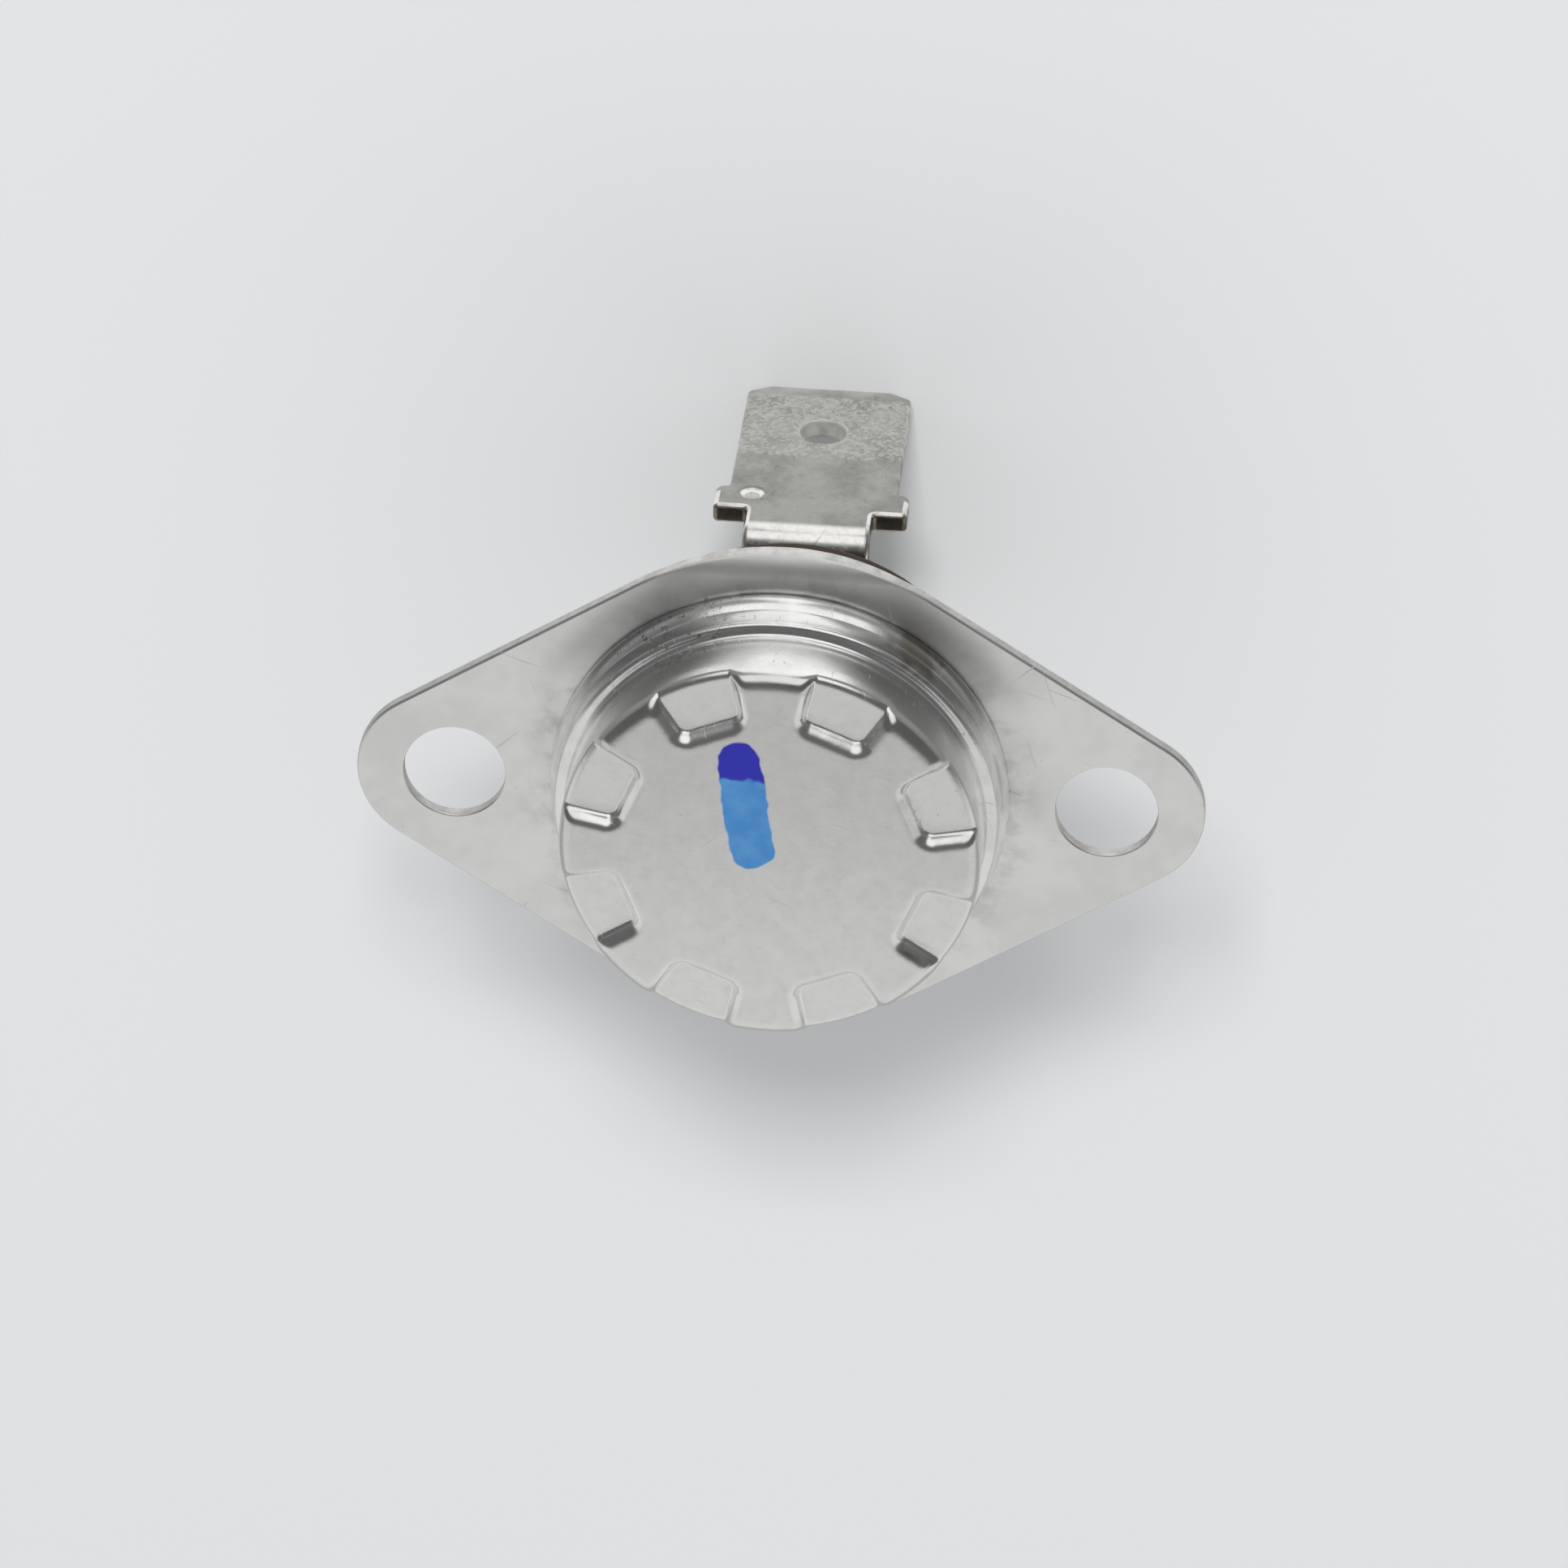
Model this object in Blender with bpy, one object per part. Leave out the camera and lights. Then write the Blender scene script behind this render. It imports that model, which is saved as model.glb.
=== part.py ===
"""Snap-action bimetal thermostat with a rhombus mounting bracket and two tab terminals.

Metres. The origin is the centre of the sensing face, with +Z out of it. X runs along the
bracket and Y from the lower terminal to the upper one. The heights below are counted from the
bracket's front face, and one empty carries every piece down to the origin. The part stands on
the tips of its terminals.
"""

import math

import bmesh
import bpy
from mathutils import Vector

# Fits between pieces
SEAT_CLEARANCE = 0.00005
BORE_CLEARANCE = 0.00005
DISC_PLAY = 0.00015

# Sensing cap
CAP_WALL = 0.0004
FACE_HEIGHT = 0.00475
BASE_RADIUS = 0.00814
LEDGE_WIDTH = 0.00046
LEDGE_HEIGHT = 0.00175
LEDGE_EDGE_RADIUS = 0.0002
NOSE_EDGE_RADIUS = 0.00035
BEAD_SWELL = 0.00031
BEAD_HEIGHT = 0.00085
SKIRT_STEP = 0.00019
REAR_BEAD_SWELL = 0.0004
REAR_BEAD_HEIGHT = 0.0006
CRIMP_LIP = 0.00028

# Dents round the sensing face
DENT_COUNT = 8
DENT_DEPTH = 0.0005
DENT_LENGTH = 0.00193
DENT_HALF_ANGLE = math.radians(10.5)
DENT_FLARE = 0.00045
DENT_CORNER = 0.0006

# Mounting bracket
BRACKET_THICKNESS = 0.0005
BEAD_MARGIN = 0.00135
SCREW_PITCH = 0.024
SCREW_HOLE_RADIUS = 0.00188
EAR_SHIFT = 0.0006
EAR_RADIUS = 0.003
ROLL_WIDTH = 0.00155
ROLL_DEPTH = 0.0005
BRACKET_BORE_CLEARANCE = 0.0001

# Bimetal disc
DISC_EDGE_GAP = 0.00038
DISC_THICKNESS = 0.00025
DISC_DOME = 0.00035

# Guide plate
GUIDE_THICKNESS = 0.001
GUIDE_RIM_WIDTH = 0.00065
GUIDE_BOSS_RADIUS = 0.002
GUIDE_BOSS_HEIGHT = 0.0006

# Striker pin
PIN_RADIUS = 0.001
PIN_LENGTH = 0.00635
PIN_TIP_RADIUS = 0.00035
PIN_TIP_HEIGHT = 0.00035
PIN_GAP = 0.0003

# Moulded body
SHOULDER_DEPTH = 0.0025
SHOULDER_WIDTH = 0.00032
BODY_DEPTH = 0.006
BODY_EDGE_RADIUS = 0.0003
BODY_WALL = 0.00128
BODY_FLOOR = 0.0004
BLOCK_WIDTH = 0.007
BLOCK_LENGTH = 0.0084
BLOCK_HEIGHT = 0.0036
BLOCK_CORNER = 0.0012
RIB_WIDTH = 0.0008
RIB_HEIGHT = 0.0007

# Tab terminals
TAB_THICKNESS = 0.0008
TAB_OFFSET = 0.00523
TAB_INNER_END = 0.0008
TAB_END_CORNER = 0.001
TAB_FOLD_RADIUS = 0.00025
TAB_NECK_WIDTH = 0.00476
TAB_EAR_WIDTH = 0.0073
TAB_EAR_DEPTH = 0.00205
TAB_EAR_HEIGHT = 0.0016
TAB_BLADE_WIDTH = 0.0063
TAB_BLADE_LENGTH = 0.0082
TAB_CHAMFER = 0.0008
TAB_TIP_THINNING = 0.5
TAB_HOLE_RADIUS = 0.00085
TAB_HOLE_FROM_TIP = 0.0037
DIMPLE_RADIUS = 0.00046
DIMPLE_DEPTH = 0.00015
DIMPLE_SIDE = 0.00226
DIMPLE_FROM_EAR = 0.0005

# Terminal rivets
RIVET_OFFSET = 0.0025
RIVET_RADIUS = 0.0008
RIVET_HEAD_RADIUS = 0.0015
RIVET_HEAD_HEIGHT = 0.00055
RIVET_INNER_RADIUS = 0.00115
RIVET_INNER_HEIGHT = 0.0004

# Strips inside the body
STRIP_THICKNESS = 0.0004
STRIP_WIDTH = 0.003
STRIP_INNER_END = 0.0012
STRIP_WALL_GAP = 0.0007
STRIP_FOLD_RADIUS = 0.0002
SHELF_LENGTH = 0.0014
FIXED_LIP_GAP = 0.001

# Contact arm and contacts
ARM_THICKNESS = 0.00025
ARM_WIDTH = 0.0026
ARM_TIP_LENGTH = 0.0011
ARM_ROOT_LENGTH = 0.0009
CONTACT_INSET = 0.0018
CONTACT_RADIUS = 0.001
CONTACT_HEIGHT = 0.0005
CONTACT_SHANK_RADIUS = 0.0005
CONTACT_HEAD_RADIUS = 0.0008
CONTACT_HEAD_HEIGHT = 0.0002

# Facets
ROUND_STEPS = 64
MIDDLE_ROUND_STEPS = 40
HOLE_STEPS = 32
SMALL_ROUND_STEPS = 24
PIN_STEPS = 20
DIMPLE_STEPS = 12
MIDDLE_STEPS = 20
EAR_STEPS = 14
ARM_END_STEPS = 10
DISC_RINGS = 5
NOSE_EDGE_STEPS = 4
FILLET_STEPS = 3
FOLD_STEPS = 5
ROLL_STEPS = 4
MERGE_DISTANCE = 1e-7
SHARP_ANGLE = math.radians(32)

# Heights that follow from the sizes above
DENT_FLOOR_Z = FACE_HEIGHT - DENT_DEPTH
BOSS_Z = DENT_FLOOR_Z - CAP_WALL
DISC_RIM_Z = BOSS_Z - DISC_PLAY - DISC_THICKNESS
GUIDE_RIM_Z = DISC_RIM_Z - DISC_PLAY
BODY_FRONT_Z = LEDGE_HEIGHT - CAP_WALL - SEAT_CLEARANCE
GUIDE_Z = BODY_FRONT_Z - GUIDE_THICKNESS / 2
PIN_FRONT_Z = DISC_RIM_Z + DISC_DOME - PIN_GAP
PIN_REAR_Z = PIN_FRONT_Z - PIN_LENGTH
ARM_Z = PIN_REAR_Z - SEAT_CLEARANCE - ARM_THICKNESS
SHELF_Z = ARM_Z - SEAT_CLEARANCE
CAVITY_DEPTH = BODY_DEPTH - BODY_FLOOR
BLOCK_DEPTH = BODY_DEPTH + BLOCK_HEIGHT
FIXED_CONTACT_Z = ARM_Z + ARM_THICKNESS + 2 * SEAT_CLEARANCE + 2 * CONTACT_HEIGHT
FIXED_LIP_Z = FIXED_CONTACT_Z + SEAT_CLEARANCE
FLOOR_STRIP_Z = -CAVITY_DEPTH + SEAT_CLEARANCE
CRIMP_Z = -SHOULDER_DEPTH - SEAT_CLEARANCE
TAB_FRONT_Z = -BLOCK_DEPTH - SEAT_CLEARANCE
TAB_REAR_Z = TAB_FRONT_Z - TAB_THICKNESS

# Radii that follow from the sizes above
NOSE_RADIUS = BASE_RADIUS - LEDGE_WIDTH
BEAD_RADIUS = BASE_RADIUS + BEAD_SWELL
SKIRT_RADIUS = BASE_RADIUS - SKIRT_STEP
REAR_BEAD_RADIUS = SKIRT_RADIUS + REAR_BEAD_SWELL
SKIRT_BORE = SKIRT_RADIUS - CAP_WALL
BASE_BORE = BASE_RADIUS - CAP_WALL
NOSE_BORE = NOSE_RADIUS - CAP_WALL
DENT_INNER_DISTANCE = NOSE_RADIUS - DENT_LENGTH
DISC_RADIUS = NOSE_BORE - DISC_EDGE_GAP
GUIDE_RADIUS = NOSE_BORE - 2 * SEAT_CLEARANCE
BODY_RADIUS = SKIRT_BORE - SEAT_CLEARANCE
BODY_REAR_RADIUS = BODY_RADIUS - SHOULDER_WIDTH
CRIMP_BORE = BODY_REAR_RADIUS + BORE_CLEARANCE
CAVITY_RADIUS = BODY_REAR_RADIUS - BODY_WALL
TAB_FOLD_OUTER = TAB_FOLD_RADIUS + TAB_THICKNESS

# Distances from the axis that follow from the sizes above
MIDDLE_RADIUS = BEAD_RADIUS + BEAD_MARGIN
EAR_OFFSET = SCREW_PITCH / 2 + EAR_SHIFT
ROLL_START = MIDDLE_RADIUS - ROLL_WIDTH
STRIP_OFFSET = CAVITY_RADIUS - STRIP_WALL_GAP
HINGE_OFFSET = STRIP_OFFSET - SHELF_LENGTH
ARM_ROOT_OFFSET = HINGE_OFFSET + ARM_ROOT_LENGTH
CONTACT_OFFSET = STRIP_OFFSET - CONTACT_INSET
ARM_TIP_OFFSET = CONTACT_OFFSET + ARM_TIP_LENGTH


def clear_scene():
    """Remove whatever the file holds, so that only the part is left."""
    for item in list(bpy.data.objects):
        bpy.data.objects.remove(item, do_unlink=True)


def make_material(name, colour, roughness, metallic):
    """One finish, as a Principled surface."""
    material = bpy.data.materials.new(name)
    material.use_nodes = True
    shader = material.node_tree.nodes["Principled BSDF"]
    shader.inputs["Base Color"].default_value = (*colour, 1.0)
    shader.inputs["Roughness"].default_value = roughness
    shader.inputs["Metallic"].default_value = metallic
    material.diffuse_color = (*colour, 1.0)
    return material


def add_object(name, bm, material=None):
    """Turn a finished bmesh into an object with its normals out and its round faces smooth."""
    bmesh.ops.recalc_face_normals(bm, faces=bm.faces)
    mesh = bpy.data.meshes.new(name)
    bm.to_mesh(mesh)
    bm.free()
    mesh.shade_smooth()
    mesh.set_sharp_from_angle(angle=SHARP_ANGLE)
    item = bpy.data.objects.new(name, mesh)
    bpy.context.scene.collection.objects.link(item)
    if material:
        mesh.materials.append(material)
    return item


def arc(centre, radius, start, end, steps=FILLET_STEPS):
    """Points of an arc round a centre, from one angle in degrees to another."""
    points = []
    for step in range(steps + 1):
        angle = math.radians(start + (end - start) * step / steps)
        points.append((centre[0] + radius * math.cos(angle), centre[1] + radius * math.sin(angle)))
    return points


def turned(name, profile, material=None, steps=SMALL_ROUND_STEPS):
    """Turn a profile of (radius, height) points once round the Z axis.

    A profile that starts on the axis ends on it too, and any other is a closed ring.
    """
    bm = bmesh.new()
    corners = [bm.verts.new((radius, 0.0, height)) for radius, height in profile]
    edges = [bm.edges.new(pair) for pair in zip(corners, corners[1:])]
    if profile[0][0] > 0.0:
        edges.append(bm.edges.new((corners[-1], corners[0])))
    bmesh.ops.spin(bm, geom=corners + edges, cent=(0, 0, 0), axis=(0, 0, 1),
                   angle=2 * math.pi, steps=steps, use_merge=True)
    bmesh.ops.remove_doubles(bm, verts=bm.verts, dist=MERGE_DISTANCE)
    return add_object(name, bm, material)


def raise_outline(bm, outline, low, high):
    """Extrude an outline in X and Y from one height to another."""
    face = bm.faces.new([bm.verts.new((x, y, low)) for x, y in outline])
    grown = bmesh.ops.extrude_face_region(bm, geom=[face])
    upper = [item for item in grown["geom"] if isinstance(item, bmesh.types.BMVert)]
    bmesh.ops.translate(bm, verts=upper, vec=(0, 0, high - low))


def score(bm, line):
    """Divide a blank along a line across it, at a distance along Y."""
    bmesh.ops.bisect_plane(bm, geom=bm.verts[:] + bm.edges[:] + bm.faces[:],
                           dist=MERGE_DISTANCE, plane_co=(0, line, 0), plane_no=(0, 1, 0))


def slab(name, outline, low, high, material=None):
    """A flat piece with an outline in X and Y, between two heights."""
    bm = bmesh.new()
    raise_outline(bm, outline, low, high)
    return add_object(name, bm, material)


def rounded_rectangle(width, length, corner):
    """The outline of a rectangle with round corners, centred on the axis."""
    outline = []
    for turn, (side, end) in enumerate(((1, 1), (-1, 1), (-1, -1), (1, -1))):
        centre = (side * (width / 2 - corner), end * (length / 2 - corner))
        outline += arc(centre, corner, 90 * turn, 90 * turn + 90)
    return outline


def combine(target, tool, operation):
    """Cut a tool's solid out of the target, or join it on, and hide the tool."""
    step = target.modifiers.new(tool.name, "BOOLEAN")
    step.operation = operation
    step.solver = "EXACT"
    step.object = tool
    tool.hide_render = True
    tool.display_type = "WIRE"


def drill(target, places, radius, low, high, steps=SMALL_ROUND_STEPS):
    """Drill round holes along Z at the given places in X and Y."""
    bm = bmesh.new()
    for x, y in places:
        raise_outline(bm, arc((x, y), radius, 0, 360, steps)[:-1], low, high)
    combine(target, add_object(target.name + "_drill", bm), "DIFFERENCE")


def cap_profile():
    """The cap's section: down its outside from the sensing face, and back up its inside."""
    edge = NOSE_EDGE_RADIUS
    outer_edge = arc((NOSE_RADIUS - edge, FACE_HEIGHT - edge), edge, 90, 0,
                     NOSE_EDGE_STEPS)
    inner_edge = CAP_WALL / 4
    foot = LEDGE_EDGE_RADIUS
    ledge_root = arc((NOSE_RADIUS + foot, LEDGE_HEIGHT + foot), foot, 180, 270)
    ledge_edge = arc((BASE_RADIUS - foot, LEDGE_HEIGHT - foot), foot, 90, 0)
    bead = [(BASE_RADIUS, BEAD_HEIGHT)]
    for share in (0.3, 0.6, 0.85, 1.0):
        bead.append((BASE_RADIUS + BEAD_SWELL * math.sin(share * math.pi / 2),
                     BEAD_HEIGHT - (BEAD_HEIGHT - 2 * SEAT_CLEARANCE) * share))
    bracket_back = -BRACKET_THICKNESS - SEAT_CLEARANCE
    rear_bead = [(SKIRT_RADIUS, SEAT_CLEARANCE), (SKIRT_RADIUS, bracket_back),
                 (REAR_BEAD_RADIUS, bracket_back - REAR_BEAD_HEIGHT / 6),
                 (REAR_BEAD_RADIUS, bracket_back - REAR_BEAD_HEIGHT * 2 / 3),
                 (SKIRT_RADIUS, bracket_back - REAR_BEAD_HEIGHT)]
    crimp = arc((SKIRT_RADIUS - CAP_WALL, CRIMP_Z), CAP_WALL, 0, -90)
    lip = [(CRIMP_BORE, CRIMP_Z - CAP_WALL), (CRIMP_BORE, CRIMP_Z), (SKIRT_BORE, CRIMP_Z)]
    inside = [(SKIRT_BORE, -CRIMP_LIP), (BASE_BORE, CRIMP_LIP),
              (BASE_BORE, LEDGE_HEIGHT - CAP_WALL), (NOSE_BORE, LEDGE_HEIGHT - CAP_WALL)]
    top = arc((NOSE_BORE - inner_edge, FACE_HEIGHT - CAP_WALL - inner_edge), inner_edge, 0, 90, 2)
    return ([(0.0, FACE_HEIGHT)] + outer_edge + ledge_root + ledge_edge + bead + rear_bead
            + crimp + lip + inside + top + [(0.0, FACE_HEIGHT - CAP_WALL)])


def dent_outline(grow, outer):
    """One dent seen from above, about +X, grown sideways: straight inner edge, round corners."""
    inner = DENT_INNER_DISTANCE - grow
    lean = Vector((math.cos(DENT_HALF_ANGLE), math.sin(DENT_HALF_ANGLE)))
    push = Vector((-lean.y, lean.x)) * grow
    corner = push + lean * ((inner - push.x) / lean.x)
    along_side = corner + lean * DENT_CORNER
    along_end = corner - Vector((0.0, DENT_CORNER))
    half = [push + lean * outer]
    for step in range(FILLET_STEPS + 1):
        share = step / FILLET_STEPS
        half.append(along_side.lerp(corner, share).lerp(corner.lerp(along_end, share), share))
    mirrored = [Vector((point.x, -point.y)) for point in reversed(half)]
    return half + mirrored


def add_wedges(bm, levels, outer):
    """Stack dent outlines at (height, growth) levels into closed wedges, one for each dent."""
    for count in range(DENT_COUNT):
        angle = 2 * math.pi * (count + 0.5) / DENT_COUNT
        across = Vector((math.cos(angle), math.sin(angle), 0.0))
        aside = Vector((-across.y, across.x, 0.0))
        loops = []
        for height, grow in levels:
            outline = dent_outline(grow, outer)
            loops.append([bm.verts.new(across * point.x + aside * point.y
                                       + Vector((0.0, 0.0, height))) for point in outline])
        bm.faces.new(loops[0])
        bm.faces.new(loops[-1])
        for low, high in zip(loops, loops[1:]):
            for index in range(len(low)):
                bm.faces.new((low[index - 1], low[index], high[index], high[index - 1]))


def make_sensing_cap(metal):
    """A drawn cup whose face is dented inwards at eight places, each open to the rim."""
    cap = turned("sensing_cap", cap_profile(), metal, ROUND_STEPS)
    bosses = bmesh.new()
    inside = NOSE_RADIUS - CAP_WALL / 2
    add_wedges(bosses, [(BOSS_Z, CAP_WALL / 2), (FACE_HEIGHT - CAP_WALL / 2, CAP_WALL)], inside)
    combine(cap, add_object("dent_bosses", bosses), "UNION")
    cutters = bmesh.new()
    flare = [(0.0, 0.0), (0.35, 0.15), (0.7, 0.45), (1.0, 1.0), (1.5, 1.0)]
    levels = [(DENT_FLOOR_Z + DENT_DEPTH * up, DENT_FLARE * out) for up, out in flare]
    add_wedges(cutters, levels, NOSE_RADIUS + CAP_WALL)
    combine(cap, add_object("dent_cutters", cutters), "DIFFERENCE")
    return cap


def bracket_outline():
    """Two ears joined by straight edges to a round middle, counted anticlockwise."""
    lean = math.degrees(math.acos((MIDDLE_RADIUS - EAR_RADIUS) / EAR_OFFSET))
    outline = []
    for turn, side in ((0, 1), (180, -1)):
        outline += arc((side * EAR_OFFSET, 0.0), EAR_RADIUS, turn - lean, turn + lean, EAR_STEPS)
        outline += arc((0.0, 0.0), MIDDLE_RADIUS, turn + lean, turn + 180 - lean, MIDDLE_STEPS)
    return outline


def make_mounting_bracket(metal):
    """A stamped rhombus whose long edges are rolled back a little beside the cap."""
    bm = bmesh.new()
    raise_outline(bm, bracket_outline(), -BRACKET_THICKNESS, 0.0)
    for side in (1, -1):
        for step in range(ROLL_STEPS):
            score(bm, side * (ROLL_START + ROLL_WIDTH * step / ROLL_STEPS))
    for vert in bm.verts:
        past = max(abs(vert.co.y) - ROLL_START, 0.0) / ROLL_WIDTH
        vert.co.z -= ROLL_DEPTH * past ** 2
    bracket = add_object("mounting_bracket", bm, metal)
    screws = [(SCREW_PITCH / 2, 0.0), (-SCREW_PITCH / 2, 0.0)]
    drill(bracket, screws, SCREW_HOLE_RADIUS, -2 * BRACKET_THICKNESS, BRACKET_THICKNESS, HOLE_STEPS)
    bore = bmesh.new()
    circle = arc((0.0, 0.0), SKIRT_RADIUS + BRACKET_BORE_CLEARANCE, 0, 360, ROUND_STEPS)[:-1]
    raise_outline(bore, circle, -2 * BRACKET_THICKNESS, BRACKET_THICKNESS)
    combine(bracket, add_object("bracket_bore", bore), "DIFFERENCE")
    return bracket


def make_bimetal_disc(metal):
    """A thin dome, bulged towards the sensing face while it is cold."""
    rear = []
    for ring in range(DISC_RINGS + 1):
        share = ring / DISC_RINGS
        rear.append((DISC_RADIUS * share, DISC_DOME * (1 - share ** 2)))
    front = [(radius, height + DISC_THICKNESS) for radius, height in reversed(rear)]
    disc = turned("bimetal_disc", rear + front, metal, MIDDLE_ROUND_STEPS)
    disc.location.z = DISC_RIM_Z
    return disc


def make_guide_plate(plastic):
    """A moulded plate with a rim that traps the disc and a bossed bore that guides the pin."""
    bore = PIN_RADIUS + BORE_CLEARANCE
    rear = GUIDE_Z - GUIDE_THICKNESS / 2
    front = GUIDE_Z + GUIDE_THICKNESS / 2
    rim = GUIDE_RADIUS - GUIDE_RIM_WIDTH
    boss = GUIDE_BOSS_RADIUS
    profile = [(bore, rear - GUIDE_BOSS_HEIGHT), (boss, rear - GUIDE_BOSS_HEIGHT), (boss, rear),
               (GUIDE_RADIUS, rear), (GUIDE_RADIUS, GUIDE_RIM_Z), (rim, GUIDE_RIM_Z),
               (rim, front), (bore, front)]
    return turned("guide_plate", profile, plastic, MIDDLE_ROUND_STEPS)


def make_striker_pin(ceramic):
    """A round pin with a small flat tip towards the arm and an eased end towards the disc."""
    ease = PIN_TIP_HEIGHT / 2
    profile = [(0.0, 0.0), (PIN_TIP_RADIUS, 0.0), (PIN_RADIUS, PIN_TIP_HEIGHT),
               (PIN_RADIUS, PIN_LENGTH - ease), (PIN_RADIUS - ease, PIN_LENGTH), (0.0, PIN_LENGTH)]
    pin = turned("striker_pin", profile, ceramic, PIN_STEPS)
    pin.location.z = PIN_REAR_Z
    return pin


def make_switch_body(plastic):
    """A moulded cup for the contacts, with a terminal block and a barrier rib on its back."""
    seat = GUIDE_Z - GUIDE_THICKNESS / 2 - SEAT_CLEARANCE
    pocket = GUIDE_RADIUS + BORE_CLEARANCE
    edge = BODY_EDGE_RADIUS
    profile = [(0.0, -CAVITY_DEPTH), (CAVITY_RADIUS, -CAVITY_DEPTH), (CAVITY_RADIUS, seat),
               (pocket, seat), (pocket, BODY_FRONT_Z), (BODY_RADIUS, BODY_FRONT_Z),
               (BODY_RADIUS, -SHOULDER_DEPTH), (BODY_REAR_RADIUS, -SHOULDER_DEPTH)]
    profile += arc((BODY_REAR_RADIUS - edge, -BODY_DEPTH + edge), edge, 0, -90)
    profile.append((0.0, -BODY_DEPTH))
    body = turned("switch_body", profile, plastic, ROUND_STEPS)
    overlap = BODY_FLOOR / 2
    outline = rounded_rectangle(BLOCK_WIDTH, BLOCK_LENGTH, BLOCK_CORNER)
    block = slab("terminal_block", outline, -BLOCK_DEPTH, -BODY_DEPTH + overlap)
    combine(body, block, "UNION")
    rib_outline = rounded_rectangle(BLOCK_WIDTH - BLOCK_CORNER, RIB_WIDTH, RIB_WIDTH / 4)
    rib = slab("barrier_rib", rib_outline, -BLOCK_DEPTH - RIB_HEIGHT, -BLOCK_DEPTH + overlap)
    combine(body, rib, "UNION")
    drill(body, [(0.0, RIVET_OFFSET), (0.0, -RIVET_OFFSET)], RIVET_RADIUS + BORE_CLEARANCE,
          -BLOCK_DEPTH - overlap, -CAVITY_DEPTH + overlap, PIN_STEPS)
    return body


def heading(angle):
    """The direction along a folded blank that has turned by an angle towards +Z."""
    return Vector((0.0, math.cos(angle), math.sin(angle)))


def facing(angle):
    """The direction out of the front of a folded blank that has turned by an angle."""
    return Vector((0.0, -math.sin(angle), math.cos(angle)))


def folded_place(point, thickness, folds):
    """Where a point of the flat blank lies once its folds are made."""
    place = Vector((0.0, 0.0, 0.0))
    turn = 0.0
    reached = 0.0
    for start, inner_radius, angle in folds:
        if point.y <= start:
            break
        place += heading(turn) * (start - reached)
        way = math.copysign(1.0, angle)
        radius = (inner_radius + thickness / 2) * way
        part = min((point.y - start) / abs(radius), abs(angle)) * way
        centre = place + facing(turn) * radius
        turn += part
        place = centre - facing(turn) * radius
        reached = start + radius * part
    place += heading(turn) * (point.y - reached) + facing(turn) * point.z
    return Vector((point.x, place.y, place.z))


def folded_sheet(name, outline, thickness, folds, material, tip=None):
    """A flat blank along Y, folded across its width.

    Each fold is its start along the blank, its inner radius and its angle towards +Z. A blank
    with a tip is bevelled on both faces over the last stretch before it.
    """
    bm = bmesh.new()
    raise_outline(bm, outline, -thickness / 2, thickness / 2)
    for start, inner_radius, angle in folds:
        length = (inner_radius + thickness / 2) * abs(angle)
        for step in range(FOLD_STEPS + 1):
            score(bm, start + length * step / FOLD_STEPS)
    if tip:
        score(bm, tip - TAB_CHAMFER)
    for vert in bm.verts:
        if tip:
            past = max(vert.co.y - (tip - TAB_CHAMFER), 0.0) / TAB_CHAMFER
            vert.co.z *= 1.0 - TAB_TIP_THINNING * past
        vert.co = folded_place(vert.co, thickness, folds)
    return add_object(name, bm, material)


def tab_blank():
    """A terminal's flat outline, with where its fold starts and where its tip ends."""
    fold = TAB_OFFSET - TAB_FOLD_OUTER - TAB_INNER_END
    folded = (TAB_FOLD_RADIUS + TAB_THICKNESS / 2) * math.pi / 2
    ear = fold + folded + TAB_EAR_DEPTH - TAB_FOLD_OUTER
    blade = ear + TAB_EAR_HEIGHT
    tip = blade + TAB_BLADE_LENGTH
    neck = TAB_NECK_WIDTH / 2
    half = arc((neck - TAB_END_CORNER, TAB_END_CORNER), TAB_END_CORNER, -90, 0)
    half += [(neck, ear), (TAB_EAR_WIDTH / 2, ear), (TAB_EAR_WIDTH / 2, blade),
             (TAB_BLADE_WIDTH / 2, blade), (TAB_BLADE_WIDTH / 2, tip - TAB_CHAMFER),
             (TAB_BLADE_WIDTH / 2 - TAB_CHAMFER, tip)]
    mirrored = [(-x, y) for x, y in reversed(half)]
    return half + mirrored, fold, tip


def pierce_tab(tab):
    """Punch the blade's locking hole and press the small dimple beside it."""
    ear_z = TAB_FRONT_Z - TAB_EAR_DEPTH
    tip_z = ear_z - TAB_EAR_HEIGHT - TAB_BLADE_LENGTH
    hole = bmesh.new()
    circle = arc((0.0, 0.0), TAB_HOLE_RADIUS, 0, 360, SMALL_ROUND_STEPS)[:-1]
    raise_outline(hole, circle, -TAB_THICKNESS, TAB_THICKNESS)
    punch = add_object(tab.name + "_hole", hole)
    punch.rotation_euler.x = math.pi / 2
    punch.location = (0.0, TAB_OFFSET - TAB_THICKNESS / 2, tip_z + TAB_HOLE_FROM_TIP)
    punch.parent = tab.parent
    combine(tab, punch, "DIFFERENCE")
    dimple = turned(tab.name + "_dimple", [(0.0, -DIMPLE_DEPTH), (DIMPLE_RADIUS / 2, -DIMPLE_DEPTH),
                                           (DIMPLE_RADIUS, 0.0), (DIMPLE_RADIUS, DIMPLE_DEPTH),
                                           (0.0, DIMPLE_DEPTH)], None, DIMPLE_STEPS)
    dimple.rotation_euler.x = -math.pi / 2
    dimple.location = (-DIMPLE_SIDE, TAB_OFFSET, ear_z - TAB_EAR_HEIGHT + DIMPLE_FROM_EAR)
    dimple.parent = tab.parent
    combine(tab, dimple, "DIFFERENCE")


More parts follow.
